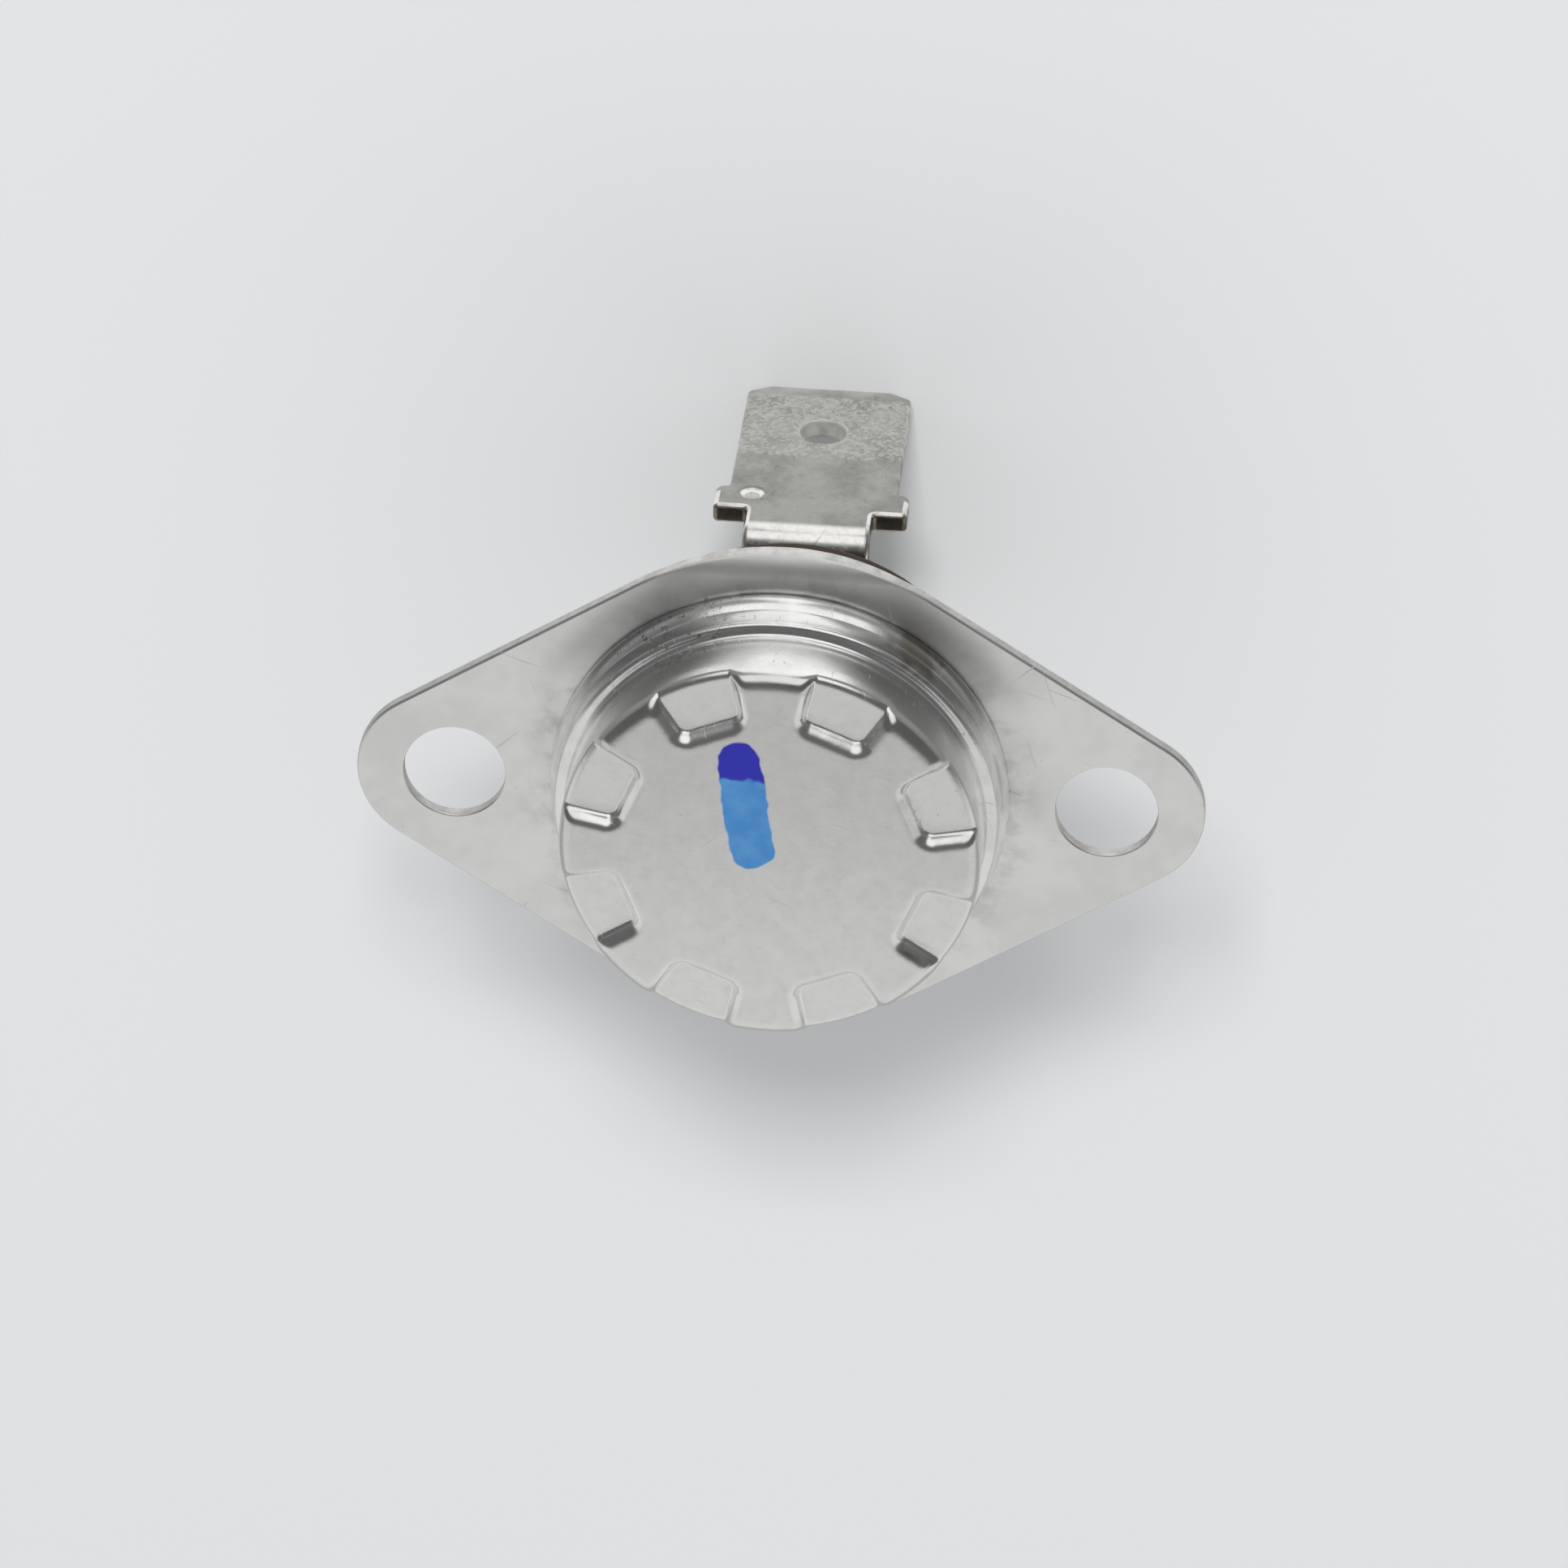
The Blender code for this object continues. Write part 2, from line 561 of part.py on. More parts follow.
def make_terminal(side, metal):
    """A stamped tab, riveted to the back of the body and folded to stand away from it."""
    outline, fold, tip = tab_blank()
    tab = folded_sheet("terminal_" + side.name, outline, TAB_THICKNESS,
                       [(fold, TAB_FOLD_RADIUS, -math.pi / 2)], metal, tip)
    tab.parent = side
    tab.location = (0.0, TAB_INNER_END, TAB_FRONT_Z - TAB_THICKNESS / 2)
    rivet_hole = bmesh.new()
    circle = arc((0.0, RIVET_OFFSET), RIVET_RADIUS + BORE_CLEARANCE, 0, 360, PIN_STEPS)[:-1]
    raise_outline(rivet_hole, circle, TAB_REAR_Z - TAB_THICKNESS, TAB_FRONT_Z + TAB_THICKNESS)
    punch = add_object(tab.name + "_rivet_hole", rivet_hole)
    punch.parent = side
    combine(tab, punch, "DIFFERENCE")
    pierce_tab(tab)
    return tab


def make_terminal_rivet(side, metal):
    """A rivet with a domed head on the terminal and a flat one on the strip inside."""
    rear = TAB_REAR_Z - SEAT_CLEARANCE
    front = FLOOR_STRIP_Z + STRIP_THICKNESS + SEAT_CLEARANCE
    height = RIVET_HEAD_HEIGHT
    profile = [(0.0, rear - height), (RIVET_HEAD_RADIUS * 0.5, rear - height * 0.88),
               (RIVET_HEAD_RADIUS * 0.85, rear - height * 0.5), (RIVET_HEAD_RADIUS, rear),
               (RIVET_RADIUS, rear), (RIVET_RADIUS, front), (RIVET_INNER_RADIUS, front),
               (RIVET_INNER_RADIUS, front + RIVET_INNER_HEIGHT / 2),
               (RIVET_INNER_RADIUS - RIVET_INNER_HEIGHT / 2, front + RIVET_INNER_HEIGHT),
               (0.0, front + RIVET_INNER_HEIGHT)]
    rivet = turned("terminal_rivet_" + side.name, profile, metal, PIN_STEPS)
    rivet.parent = side
    rivet.location.y = RIVET_OFFSET
    return rivet


def make_strip(name, side, top_z, lip_end, metal):
    """A strip on the cavity's floor, folded up near the wall and back towards the axis.

    Its lip's front face is at top_z and ends at the distance lip_end from the axis.
    """
    outer_fold = STRIP_FOLD_RADIUS + STRIP_THICKNESS
    quarter = math.pi / 2
    folded = (STRIP_FOLD_RADIUS + STRIP_THICKNESS / 2) * quarter
    base = STRIP_OFFSET - outer_fold - STRIP_INNER_END
    riser = top_z - FLOOR_STRIP_Z - 2 * outer_fold
    lip = STRIP_OFFSET - outer_fold - lip_end
    second = base + folded + riser
    length = second + folded + lip
    half = STRIP_WIDTH / 2
    outline = [(-half, 0.0), (half, 0.0), (half, length), (-half, length)]
    strip = folded_sheet(name, outline, STRIP_THICKNESS,
                         [(base, STRIP_FOLD_RADIUS, quarter), (second, STRIP_FOLD_RADIUS, quarter)],
                         metal)
    strip.parent = side
    strip.location = (0.0, STRIP_INNER_END, FLOOR_STRIP_Z + STRIP_THICKNESS / 2)
    bm = bmesh.new()
    circle = arc((0.0, RIVET_OFFSET), RIVET_RADIUS + BORE_CLEARANCE, 0, 360, PIN_STEPS)[:-1]
    raise_outline(bm, circle, -CAVITY_DEPTH - STRIP_THICKNESS, FLOOR_STRIP_Z + 2 * STRIP_THICKNESS)
    punch = add_object(name + "_rivet_hole", bm)
    punch.parent = side
    combine(strip, punch, "DIFFERENCE")
    return strip


def contact_profile(sheet_thickness):
    """A contact rivet's section, button down, with its seat at height zero."""
    hold = sheet_thickness + 2 * SEAT_CLEARANCE
    ease = CONTACT_HEIGHT / 3
    return [(0.0, -CONTACT_HEIGHT), (CONTACT_RADIUS - ease, -CONTACT_HEIGHT),
            (CONTACT_RADIUS, -CONTACT_HEIGHT + ease), (CONTACT_RADIUS, 0.0),
            (CONTACT_SHANK_RADIUS, 0.0), (CONTACT_SHANK_RADIUS, hold),
            (CONTACT_HEAD_RADIUS, hold), (CONTACT_HEAD_RADIUS, hold + CONTACT_HEAD_HEIGHT),
            (0.0, hold + CONTACT_HEAD_HEIGHT)]


def make_fixed_contact(strip, metal):
    """A contact rivet through the fixed strip's lip, facing the arm."""
    contact = turned("fixed_contact", contact_profile(STRIP_THICKNESS), metal, PIN_STEPS)
    contact.location = (0.0, -CONTACT_OFFSET, FIXED_CONTACT_Z)
    drill(strip, [(0.0, CONTACT_OFFSET)], CONTACT_SHANK_RADIUS + BORE_CLEARANCE,
          FIXED_LIP_Z - STRIP_THICKNESS, FIXED_LIP_Z + 2 * STRIP_THICKNESS, PIN_STEPS)
    bpy.data.objects[strip.name + "_drill"].parent = strip.parent
    return contact


def arm_outline():
    """The spring arm from above: waisted beside its hinge, with a round free end."""
    half = ARM_WIDTH / 2
    waist = half * 0.7
    root = ARM_ROOT_OFFSET - HINGE_OFFSET
    free = -ARM_TIP_OFFSET - HINGE_OFFSET
    edge = [(half, root), (half, 0.0), (waist, -half), (waist, -2 * half), (half, -3 * half)]
    right = [(x, y) for x, y in reversed(edge)]
    left = [(-x, y) for x, y in edge]
    return right + left + arc((0.0, free + half), half, 180, 360, ARM_END_STEPS)


def make_contact_arm(metal, silver):
    """The spring arm and its contact, on a pivot at the edge of the support's shelf."""
    pivot = add_empty("contact_arm_pivot", (0.0, HINGE_OFFSET, ARM_Z))
    arm = slab("contact_arm", arm_outline(), 0.0, ARM_THICKNESS, metal)
    arm.parent = pivot
    place = (0.0, -CONTACT_OFFSET - HINGE_OFFSET)
    drill(arm, [place], CONTACT_SHANK_RADIUS + BORE_CLEARANCE,
          -ARM_THICKNESS, 2 * ARM_THICKNESS, PIN_STEPS)
    bpy.data.objects["contact_arm_drill"].parent = pivot
    profile = [(radius, -height) for radius, height in contact_profile(ARM_THICKNESS)]
    contact = turned("moving_contact", profile, silver, PIN_STEPS)
    contact.parent = pivot
    contact.location = (*place, ARM_THICKNESS + SEAT_CLEARANCE)
    return arm


def add_empty(name, place):
    """An empty that carries pieces."""
    empty = bpy.data.objects.new(name, None)
    empty.location = place
    bpy.context.scene.collection.objects.link(empty)
    return empty


def make_side(name, turn):
    """An empty that carries one terminal's pieces, turned to its side of the body."""
    side = add_empty(name, (0.0, 0.0, 0.0))
    side.rotation_euler.z = turn
    return side


def carry_to_origin():
    """Hang every loose piece on one empty, so that the sensing face lies at height zero."""
    carrier = add_empty("bracket_plane", (0.0, 0.0, -FACE_HEIGHT))
    for item in bpy.data.objects:
        if item.parent is None and item != carrier:
            item.parent = carrier


def main():
    """Build the finishes and then every piece, from the sensing face back."""
    clear_scene()
    bright = make_material("bright_plating", (0.74, 0.74, 0.73), 0.24, 1.0)
    sheet = make_material("plated_sheet", (0.66, 0.66, 0.65), 0.34, 1.0)
    tinned = make_material("tinned_brass", (0.6, 0.59, 0.56), 0.45, 1.0)
    bimetal = make_material("bimetal", (0.55, 0.54, 0.5), 0.35, 1.0)
    phenolic = make_material("phenolic", (0.05, 0.03, 0.022), 0.5, 0.0)
    steatite = make_material("steatite", (0.86, 0.84, 0.78), 0.55, 0.0)
    brass = make_material("brass", (0.72, 0.55, 0.28), 0.35, 1.0)
    spring = make_material("spring_copper", (0.72, 0.46, 0.3), 0.35, 1.0)
    silver = make_material("silver", (0.84, 0.83, 0.8), 0.25, 1.0)

    make_sensing_cap(bright)
    make_mounting_bracket(sheet)
    make_bimetal_disc(bimetal)
    make_guide_plate(phenolic)
    make_striker_pin(steatite)
    make_switch_body(phenolic)
    upper = make_side("upper", 0.0)
    lower = make_side("lower", math.pi)
    for side in (upper, lower):
        make_terminal(side, tinned)
        make_terminal_rivet(side, brass)
    make_strip("arm_support", upper, SHELF_Z, HINGE_OFFSET, brass)
    fixed_top = FIXED_LIP_Z + STRIP_THICKNESS
    fixed_strip = make_strip("fixed_contact_strip", lower, fixed_top,
                             PIN_RADIUS + FIXED_LIP_GAP, brass)
    make_fixed_contact(fixed_strip, silver)
    make_contact_arm(spring, silver)
    carry_to_origin()


main()
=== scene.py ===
"""Looks of a snap-action bimetal thermostat, in metres, with +Z out of its sensing face.

The cap, the bracket, the tabs, the moulding and the rivets are modelled here in full detail and
stand for the plain solids of the same pieces. The pieces inside keep their solids and get
finishes of their own. The part stands on the tips of its tabs on a pale floor.
"""

import logging
import math
from dataclasses import dataclass, field
from enum import Enum

import bpy
import numpy as np
from mathutils import Matrix, Vector

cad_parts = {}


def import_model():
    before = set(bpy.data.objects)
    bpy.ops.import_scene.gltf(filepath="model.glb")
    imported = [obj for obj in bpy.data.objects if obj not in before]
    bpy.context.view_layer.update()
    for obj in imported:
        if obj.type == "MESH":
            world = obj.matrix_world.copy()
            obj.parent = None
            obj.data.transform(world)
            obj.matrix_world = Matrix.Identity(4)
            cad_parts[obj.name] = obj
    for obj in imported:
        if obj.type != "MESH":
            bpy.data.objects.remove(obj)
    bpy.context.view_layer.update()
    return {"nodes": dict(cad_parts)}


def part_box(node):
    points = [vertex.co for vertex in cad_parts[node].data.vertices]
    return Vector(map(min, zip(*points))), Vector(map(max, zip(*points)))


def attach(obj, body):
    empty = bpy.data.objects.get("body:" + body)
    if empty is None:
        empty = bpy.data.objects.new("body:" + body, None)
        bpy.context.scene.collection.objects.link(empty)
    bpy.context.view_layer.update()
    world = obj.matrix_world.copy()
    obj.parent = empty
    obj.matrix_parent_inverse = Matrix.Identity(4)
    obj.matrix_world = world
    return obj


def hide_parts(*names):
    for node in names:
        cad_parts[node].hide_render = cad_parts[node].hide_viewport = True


LOG = logging.getLogger("thermostat")
MM = 0.001
WELD = 1e-7
HOUSING = "housing"
WHITE = (1.0, 1.0, 1.0, 1.0)


class Side(Enum):
    """Which of the two tabs a piece belongs to, as its turn about the axis."""

    UPPER = 0.0
    LOWER = math.pi

    @property
    def label(self) -> str:
        """The side's name in small letters."""
        return self.name.lower()


class Axis(Enum):
    """A direction to cut across."""

    X = (1.0, 0.0, 0.0)
    Y = (0.0, 1.0, 0.0)


# Modelling


def alone(item: bpy.types.Object) -> None:
    """Select one object and make it the active one.

    Args:
        item: The object to work on.
    """
    bpy.ops.object.select_all(action="DESELECT")
    item.select_set(True)
    bpy.context.view_layer.objects.active = item


def edit_all(item: bpy.types.Object) -> None:
    """Enter edit mode on one object with all of its mesh selected.

    Args:
        item: The object to edit.
    """
    alone(item)
    bpy.ops.object.mode_set(mode="EDIT")
    bpy.ops.mesh.select_all(action="SELECT")


def leave_edit() -> None:
    """Go back to object mode."""
    bpy.ops.object.mode_set(mode="OBJECT")


def close_up(item: bpy.types.Object) -> None:
    """Merge doubled points and turn all faces outwards.

    Args:
        item: The closed mesh to tidy.
    """
    edit_all(item)
    bpy.ops.mesh.remove_doubles(threshold=WELD)
    bpy.ops.mesh.normals_make_consistent(inside=False)
    leave_edit()


def arc(centre: tuple[float, float], radius: float, start: float, end: float,
        steps: int) -> list[tuple[float, float]]:
    """Points of an arc.

    Args:
        centre: The arc's centre.
        radius: Its radius.
        start: The angle it starts at, in degrees.
        end: The angle it ends at, in degrees.
        steps: How many chords it has.

    Returns:
        The points from start to end.
    """
    angles = np.radians(np.linspace(start, end, steps + 1))
    return [(centre[0] + radius * math.cos(a), centre[1] + radius * math.sin(a)) for a in angles]


def rounded(corners: list[tuple[float, float, float]], steps: int = 6) -> list[tuple[float, float]]:
    """Round the corners of a closed outline.

    Args:
        corners: Each corner's place and the radius of its round.
        steps: How many chords each round has.

    Returns:
        The outline's points.
    """
    outline = []
    for index, (x, y, radius) in enumerate(corners):
        here = Vector((x, y))
        back = Vector(corners[index - 1][:2]) - here
        ahead = Vector(corners[(index + 1) % len(corners)][:2]) - here
        if radius <= 0.0:
            outline.append((x, y))
            continue
        half = back.angle(ahead) / 2
        reach = radius / math.tan(half)
        first = here + back.normalized() * reach
        last = here + ahead.normalized() * reach
        centre = here + (back.normalized() + ahead.normalized()).normalized() * radius / math.sin(half)
        for step in range(steps + 1):
            spoke = first.lerp(last, step / steps) - centre
            outline.append(tuple(centre + spoke.normalized() * radius))
    return outline


def turned(name: str, profile: list[tuple[float, float]], steps: int) -> bpy.types.Object:
    """Turn a section once round the Z axis.

    Args:
        name: The new object's name.
        profile: Points of radius and height, from axis to axis or as a ring.
        steps: How many facets the turned piece has.

    Returns:
        The closed piece, smooth shaded.
    """
    bpy.ops.object.select_all(action="DESELECT")
    bpy.ops.mesh.primitive_plane_add(size=MM)
    item = bpy.context.active_object
    item.name = name
    edit_all(item)
    bpy.ops.mesh.merge(type="CENTER")
    bpy.ops.transform.translate(value=(profile[0][0], 0.0, profile[0][1]))
    path = profile if profile[0][0] <= 0.0 else profile + profile[:1]
    for here, there in zip(path, path[1:]):
        move = (there[0] - here[0], 0.0, there[1] - here[1])
        bpy.ops.mesh.extrude_vertices_move(TRANSFORM_OT_translate={"value": move})
    bpy.ops.mesh.select_all(action="SELECT")
    bpy.ops.mesh.spin(steps=steps, angle=2 * math.pi, center=(0, 0, 0), axis=(0, 0, 1))
    leave_edit()
    close_up(item)
    bpy.ops.object.shade_smooth()
    return item


def plate(name: str, outline: list[tuple[float, float]], low: float, high: float) -> bpy.types.Object:
    """A flat plate between two heights.

    Args:
        name: The new object's name.
        outline: The plate's outline in X and Y.
        low: The height of its back.
        high: The height of its front.

    Returns:
        The closed plate.
    """
    bpy.ops.object.select_all(action="DESELECT")
    bpy.ops.mesh.primitive_circle_add(vertices=len(outline), radius=MM, fill_type="NGON")
    item = bpy.context.active_object
    item.name = name
    for vert, (x, y) in zip(item.data.vertices, outline):
        vert.co = (x, y, low)
    edit_all(item)
    bpy.ops.mesh.extrude_region_move(TRANSFORM_OT_translate={"value": (0.0, 0.0, high - low)})
    leave_edit()
    close_up(item)
    return item


def score(item: bpy.types.Object, places: list[float], axis: Axis) -> None:
    """Cut a mesh across at a row of places, without parting it.

    Args:
        item: The mesh to cut.
        places: Distances along the axis.
        axis: The axis the cuts stand square to.
    """
    edit_all(item)
    for place in places:
        bpy.ops.mesh.select_all(action="SELECT")
        point = tuple(place * part for part in axis.value)
        bpy.ops.mesh.bisect(plane_co=point, plane_no=axis.value, threshold=WELD)
    leave_edit()


def apply(item: bpy.types.Object, kind: str, **settings: object) -> None:
    """Add one modifier with its settings and apply it.

    Args:
        item: The object to change.
        kind: The modifier's type.
        **settings: The modifier's properties.
    """
    alone(item)
    step = item.modifiers.new(kind.title(), kind)
    for key, value in settings.items():
        setattr(step, key, value)
    bpy.ops.object.modifier_apply(modifier=step.name)


def cut(item: bpy.types.Object, tool: bpy.types.Object) -> None:
    """Cut a tool's solid out of a piece, and throw the tool away.

    Args:
        item: The piece.
        tool: The closed cutter.
    """
    apply(item, "BOOLEAN", operation="DIFFERENCE", solver="EXACT", object=tool)
    bpy.data.objects.remove(tool, do_unlink=True)


def drill(item: bpy.types.Object, place: tuple[float, float], radius: float, low: float,
          high: float, steps: int = 48) -> None:
    """Drill one round hole along Z.

    Args:
        item: The piece to drill.
        place: The hole's centre in X and Y.
        radius: The hole's radius.
        low: The height the hole starts at.
        high: The height it ends at.
        steps: How many facets the hole has.
    """
    half = 180 / steps
    cut(item, plate("drill", arc(place, radius, half, half + 360, steps)[:-1], low, high))


def ease_edges(item: bpy.types.Object, width: float, segments: int = 3, angle: float = 35.0,
               clamp: bool = True) -> None:
    """Round the sharp edges of a piece.

    Args:
        item: The piece.
        width: The width of each round.
        segments: How many facets each round has.
        angle: The least angle that counts as an edge, in degrees.
        clamp: Whether a short edge makes every round smaller.
    """
    apply(item, "BEVEL", width=width, segments=segments, limit_method="ANGLE",
          angle_limit=math.radians(angle), miter_outer="MITER_ARC", use_clamp_overlap=clamp)


def shade(item: bpy.types.Object, angle: float = 40.0) -> None:
    """Shade a piece smooth, with its flats kept flat.

    Args:
        item: The piece.
        angle: The least angle that stays a sharp edge, in degrees.
    """
    alone(item)
    bpy.ops.object.shade_smooth_by_angle(angle=math.radians(angle))
    apply(item, "WEIGHTED_NORMAL", keep_sharp=True, weight=60)


def node_copy(name: str, node: str) -> bpy.types.Object:
    """Copy a solid of the frame and join its loose triangles into whole faces.

    Args:
        name: The copy's name.
        node: The node to copy.

    Returns:
        The copy, with its own mesh.
    """
    source = bpy.data.objects[node]
    alone(source)
    bpy.ops.object.duplicate()
    item = bpy.context.active_object
    item.name = name
    item.parent = None
    item.matrix_world = Matrix.Identity(4)
    for key in list(item.keys()):
        del item[key]
    item.data.materials.clear()
    edit_all(item)
    bpy.ops.mesh.remove_doubles(threshold=WELD * 10)
    bpy.ops.mesh.customdata_custom_splitnormals_clear()
    bpy.ops.mesh.dissolve_limited(angle_limit=math.radians(0.4))
    leave_edit()
    return item


def places(item: bpy.types.Object) -> np.ndarray:
    """The places of a mesh's points.

    Args:
        item: The mesh object.

    Returns:
        One row of X, Y and Z for each point.
    """
    flat = np.empty(len(item.data.vertices) * 3)
    item.data.vertices.foreach_get("co", flat)
    return flat.reshape(-1, 3)


def move_points(item: bpy.types.Object, rows: np.ndarray) -> None:
    """Put a mesh's points at new places.

    Args:
        item: The mesh object.
        rows: One row of X, Y and Z for each point.
    """
    item.data.vertices.foreach_set("co", rows.ravel())
    item.data.update()


def settle(item: bpy.types.Object) -> None:
    """Put an object's place and turn into its mesh.

    Args:
        item: The finished object.
    """
    alone(item)
    bpy.ops.object.transform_apply(location=True, rotation=True, scale=True)


def ease(share: np.ndarray) -> np.ndarray:
    """A smooth step.

    Args:
        share: Values, of which those from 0 to 1 are eased.

    Returns:
        Values from 0 to 1.
    """
    held = np.clip(share, 0.0, 1.0)
    return held * held * (3.0 - 2.0 * held)


# Finishes


class Graph:
    """A shader node tree while it is being wired."""

    def __init__(self, tree: bpy.types.NodeTree) -> None:
        """Work on a tree.

        Args:
            tree: The node tree of a material, a world or a group.
        """
        self.tree = tree

    def add(self, kind: str, **settings: object) -> bpy.types.Node:
        """Add a node.

        Args:
            kind: The node's type, without its ShaderNode prefix.
            **settings: The node's properties.

        Returns:
            The new node.
        """
        node = self.tree.nodes.new("ShaderNode" + kind)
        for key, value in settings.items():
            setattr(node, key, value)
        return node

    def feed(self, socket: bpy.types.NodeSocket, value: object) -> None:
        """Link a socket to another, or set its value.

        Args:
            socket: The input.
            value: An output socket, a number or a tuple.
        """
        if isinstance(value, bpy.types.NodeSocket):
            self.tree.links.new(value, socket)
        else:
            socket.default_value = value

    def math(self, operation: str, first: object, second: object = 0.0,
             clamp: bool = False) -> bpy.types.NodeSocket:
        """A sum of two values.

        Args:
            operation: The Math node's operation.
            first: The first value or socket.
            second: The second value or socket.
            clamp: Whether the result is held between 0 and 1.

        Returns:
            The result.
        """
        node = self.add("Math", operation=operation, use_clamp=clamp)
        self.feed(node.inputs[0], first)
        self.feed(node.inputs[1], second)
        return node.outputs[0]

    def spread(self, value: object, low: float, high: float, start: float = 0.0,
               end: float = 1.0) -> bpy.types.NodeSocket:
        """Map a value from one range onto another with eased ends.

        Args:
            value: The value or socket.
            low: Where the range starts.
            high: Where it ends.
            start: What low becomes.
            end: What high becomes.

        Returns:
            The mapped value.
        """
        node = self.add("MapRange", interpolation_type="SMOOTHSTEP")
        for index, part in enumerate((value, low, high, start, end)):
            self.feed(node.inputs[index], part)
        return node.outputs[0]

    def noise(self, place: object, scale: float, detail: float = 3.0,
              roughness: float = 0.5) -> bpy.types.NodeSocket:
        """Soft noise in millimetre space.

        Args:
            place: The place in millimetres.
            scale: Waves for each millimetre.
            detail: How many octaves it has.
            roughness: How strong the finer ones are.

        Returns:
            A value round a half.
        """
        node = self.add("TexNoise")
        for key, value in (("Vector", place), ("Scale", scale), ("Detail", detail),
                           ("Roughness", roughness)):
            self.feed(node.inputs[key], value)
        return node.outputs[0]

    def blend(self, share: object, first: object, second: object,
              mode: str = "MIX") -> bpy.types.NodeSocket:
        """Mix two colours.

        Args:
            share: How much of the second there is.
            first: The first colour or socket.
            second: The second colour or socket.
            mode: How they are mixed.

        Returns:
            The mixed colour.
        """
        node = self.add("Mix", data_type="RGBA", blend_type=mode)
        self.feed(node.inputs[0], share)
        self.feed(node.inputs[6], first)
        self.feed(node.inputs[7], second)
        return node.outputs[2]

    def group(self, tree: bpy.types.NodeTree, **values: object) -> bpy.types.Node:
        """Place a shared group.

        Args:
            tree: The group.
            **values: Its inputs by name, with _ for a space.

        Returns:
            The group's node.
        """
        node = self.add("Group", node_tree=tree)
        for key, value in values.items():
            self.feed(node.inputs[key.replace("_", " ")], value)
        return node

    def place_mm(self) -> bpy.types.NodeSocket:
        """The place on the object in millimetres."""
        scale = self.add("VectorMath", operation="SCALE")
        self.feed(scale.inputs[0], self.add("TexCoord").outputs["Object"])
        scale.inputs["Scale"].default_value = 1000.0
        return scale.outputs[0]

    def reach(self, across: object, along: object) -> bpy.types.NodeSocket:
        """The length of a step across and along.

        Args:
            across: The step across.
            along: The step along.

        Returns:
            The straight distance.
        """
        squares = [self.math("MULTIPLY", part, part) for part in (across, along)]
        return self.math("SQRT", self.math("ADD", *squares))

    def parts(self, vector: object) -> tuple[bpy.types.NodeSocket, ...]:
        """The three parts of a vector.

        Args:
            vector: The vector's socket.

        Returns:
            Its X, Y and Z.
        """
        node = self.add("SeparateXYZ")
        self.feed(node.inputs[0], vector)
        return tuple(node.outputs)


def new_group(name: str, inputs: dict[str, tuple[str, object]],
              outputs: dict[str, str]) -> tuple[Graph, bpy.types.Node, bpy.types.Node]:
    """Start a shared shader group.

    Args:
        name: The group's name.
        inputs: Each input's type and default by name.
        outputs: Each output's type by name.

    Returns:
        Its graph, its input node and its output node.
    """
    tree = bpy.data.node_groups.new(name, "ShaderNodeTree")
    for key, (kind, value) in inputs.items():
        socket = tree.interface.new_socket(key, in_out="INPUT", socket_type="NodeSocket" + kind)
        if value is not None:
            socket.default_value = value
    for key, kind in outputs.items():
        tree.interface.new_socket(key, in_out="OUTPUT", socket_type="NodeSocket" + kind)
    return Graph(tree), tree.nodes.new("NodeGroupInput"), tree.nodes.new("NodeGroupOutput")


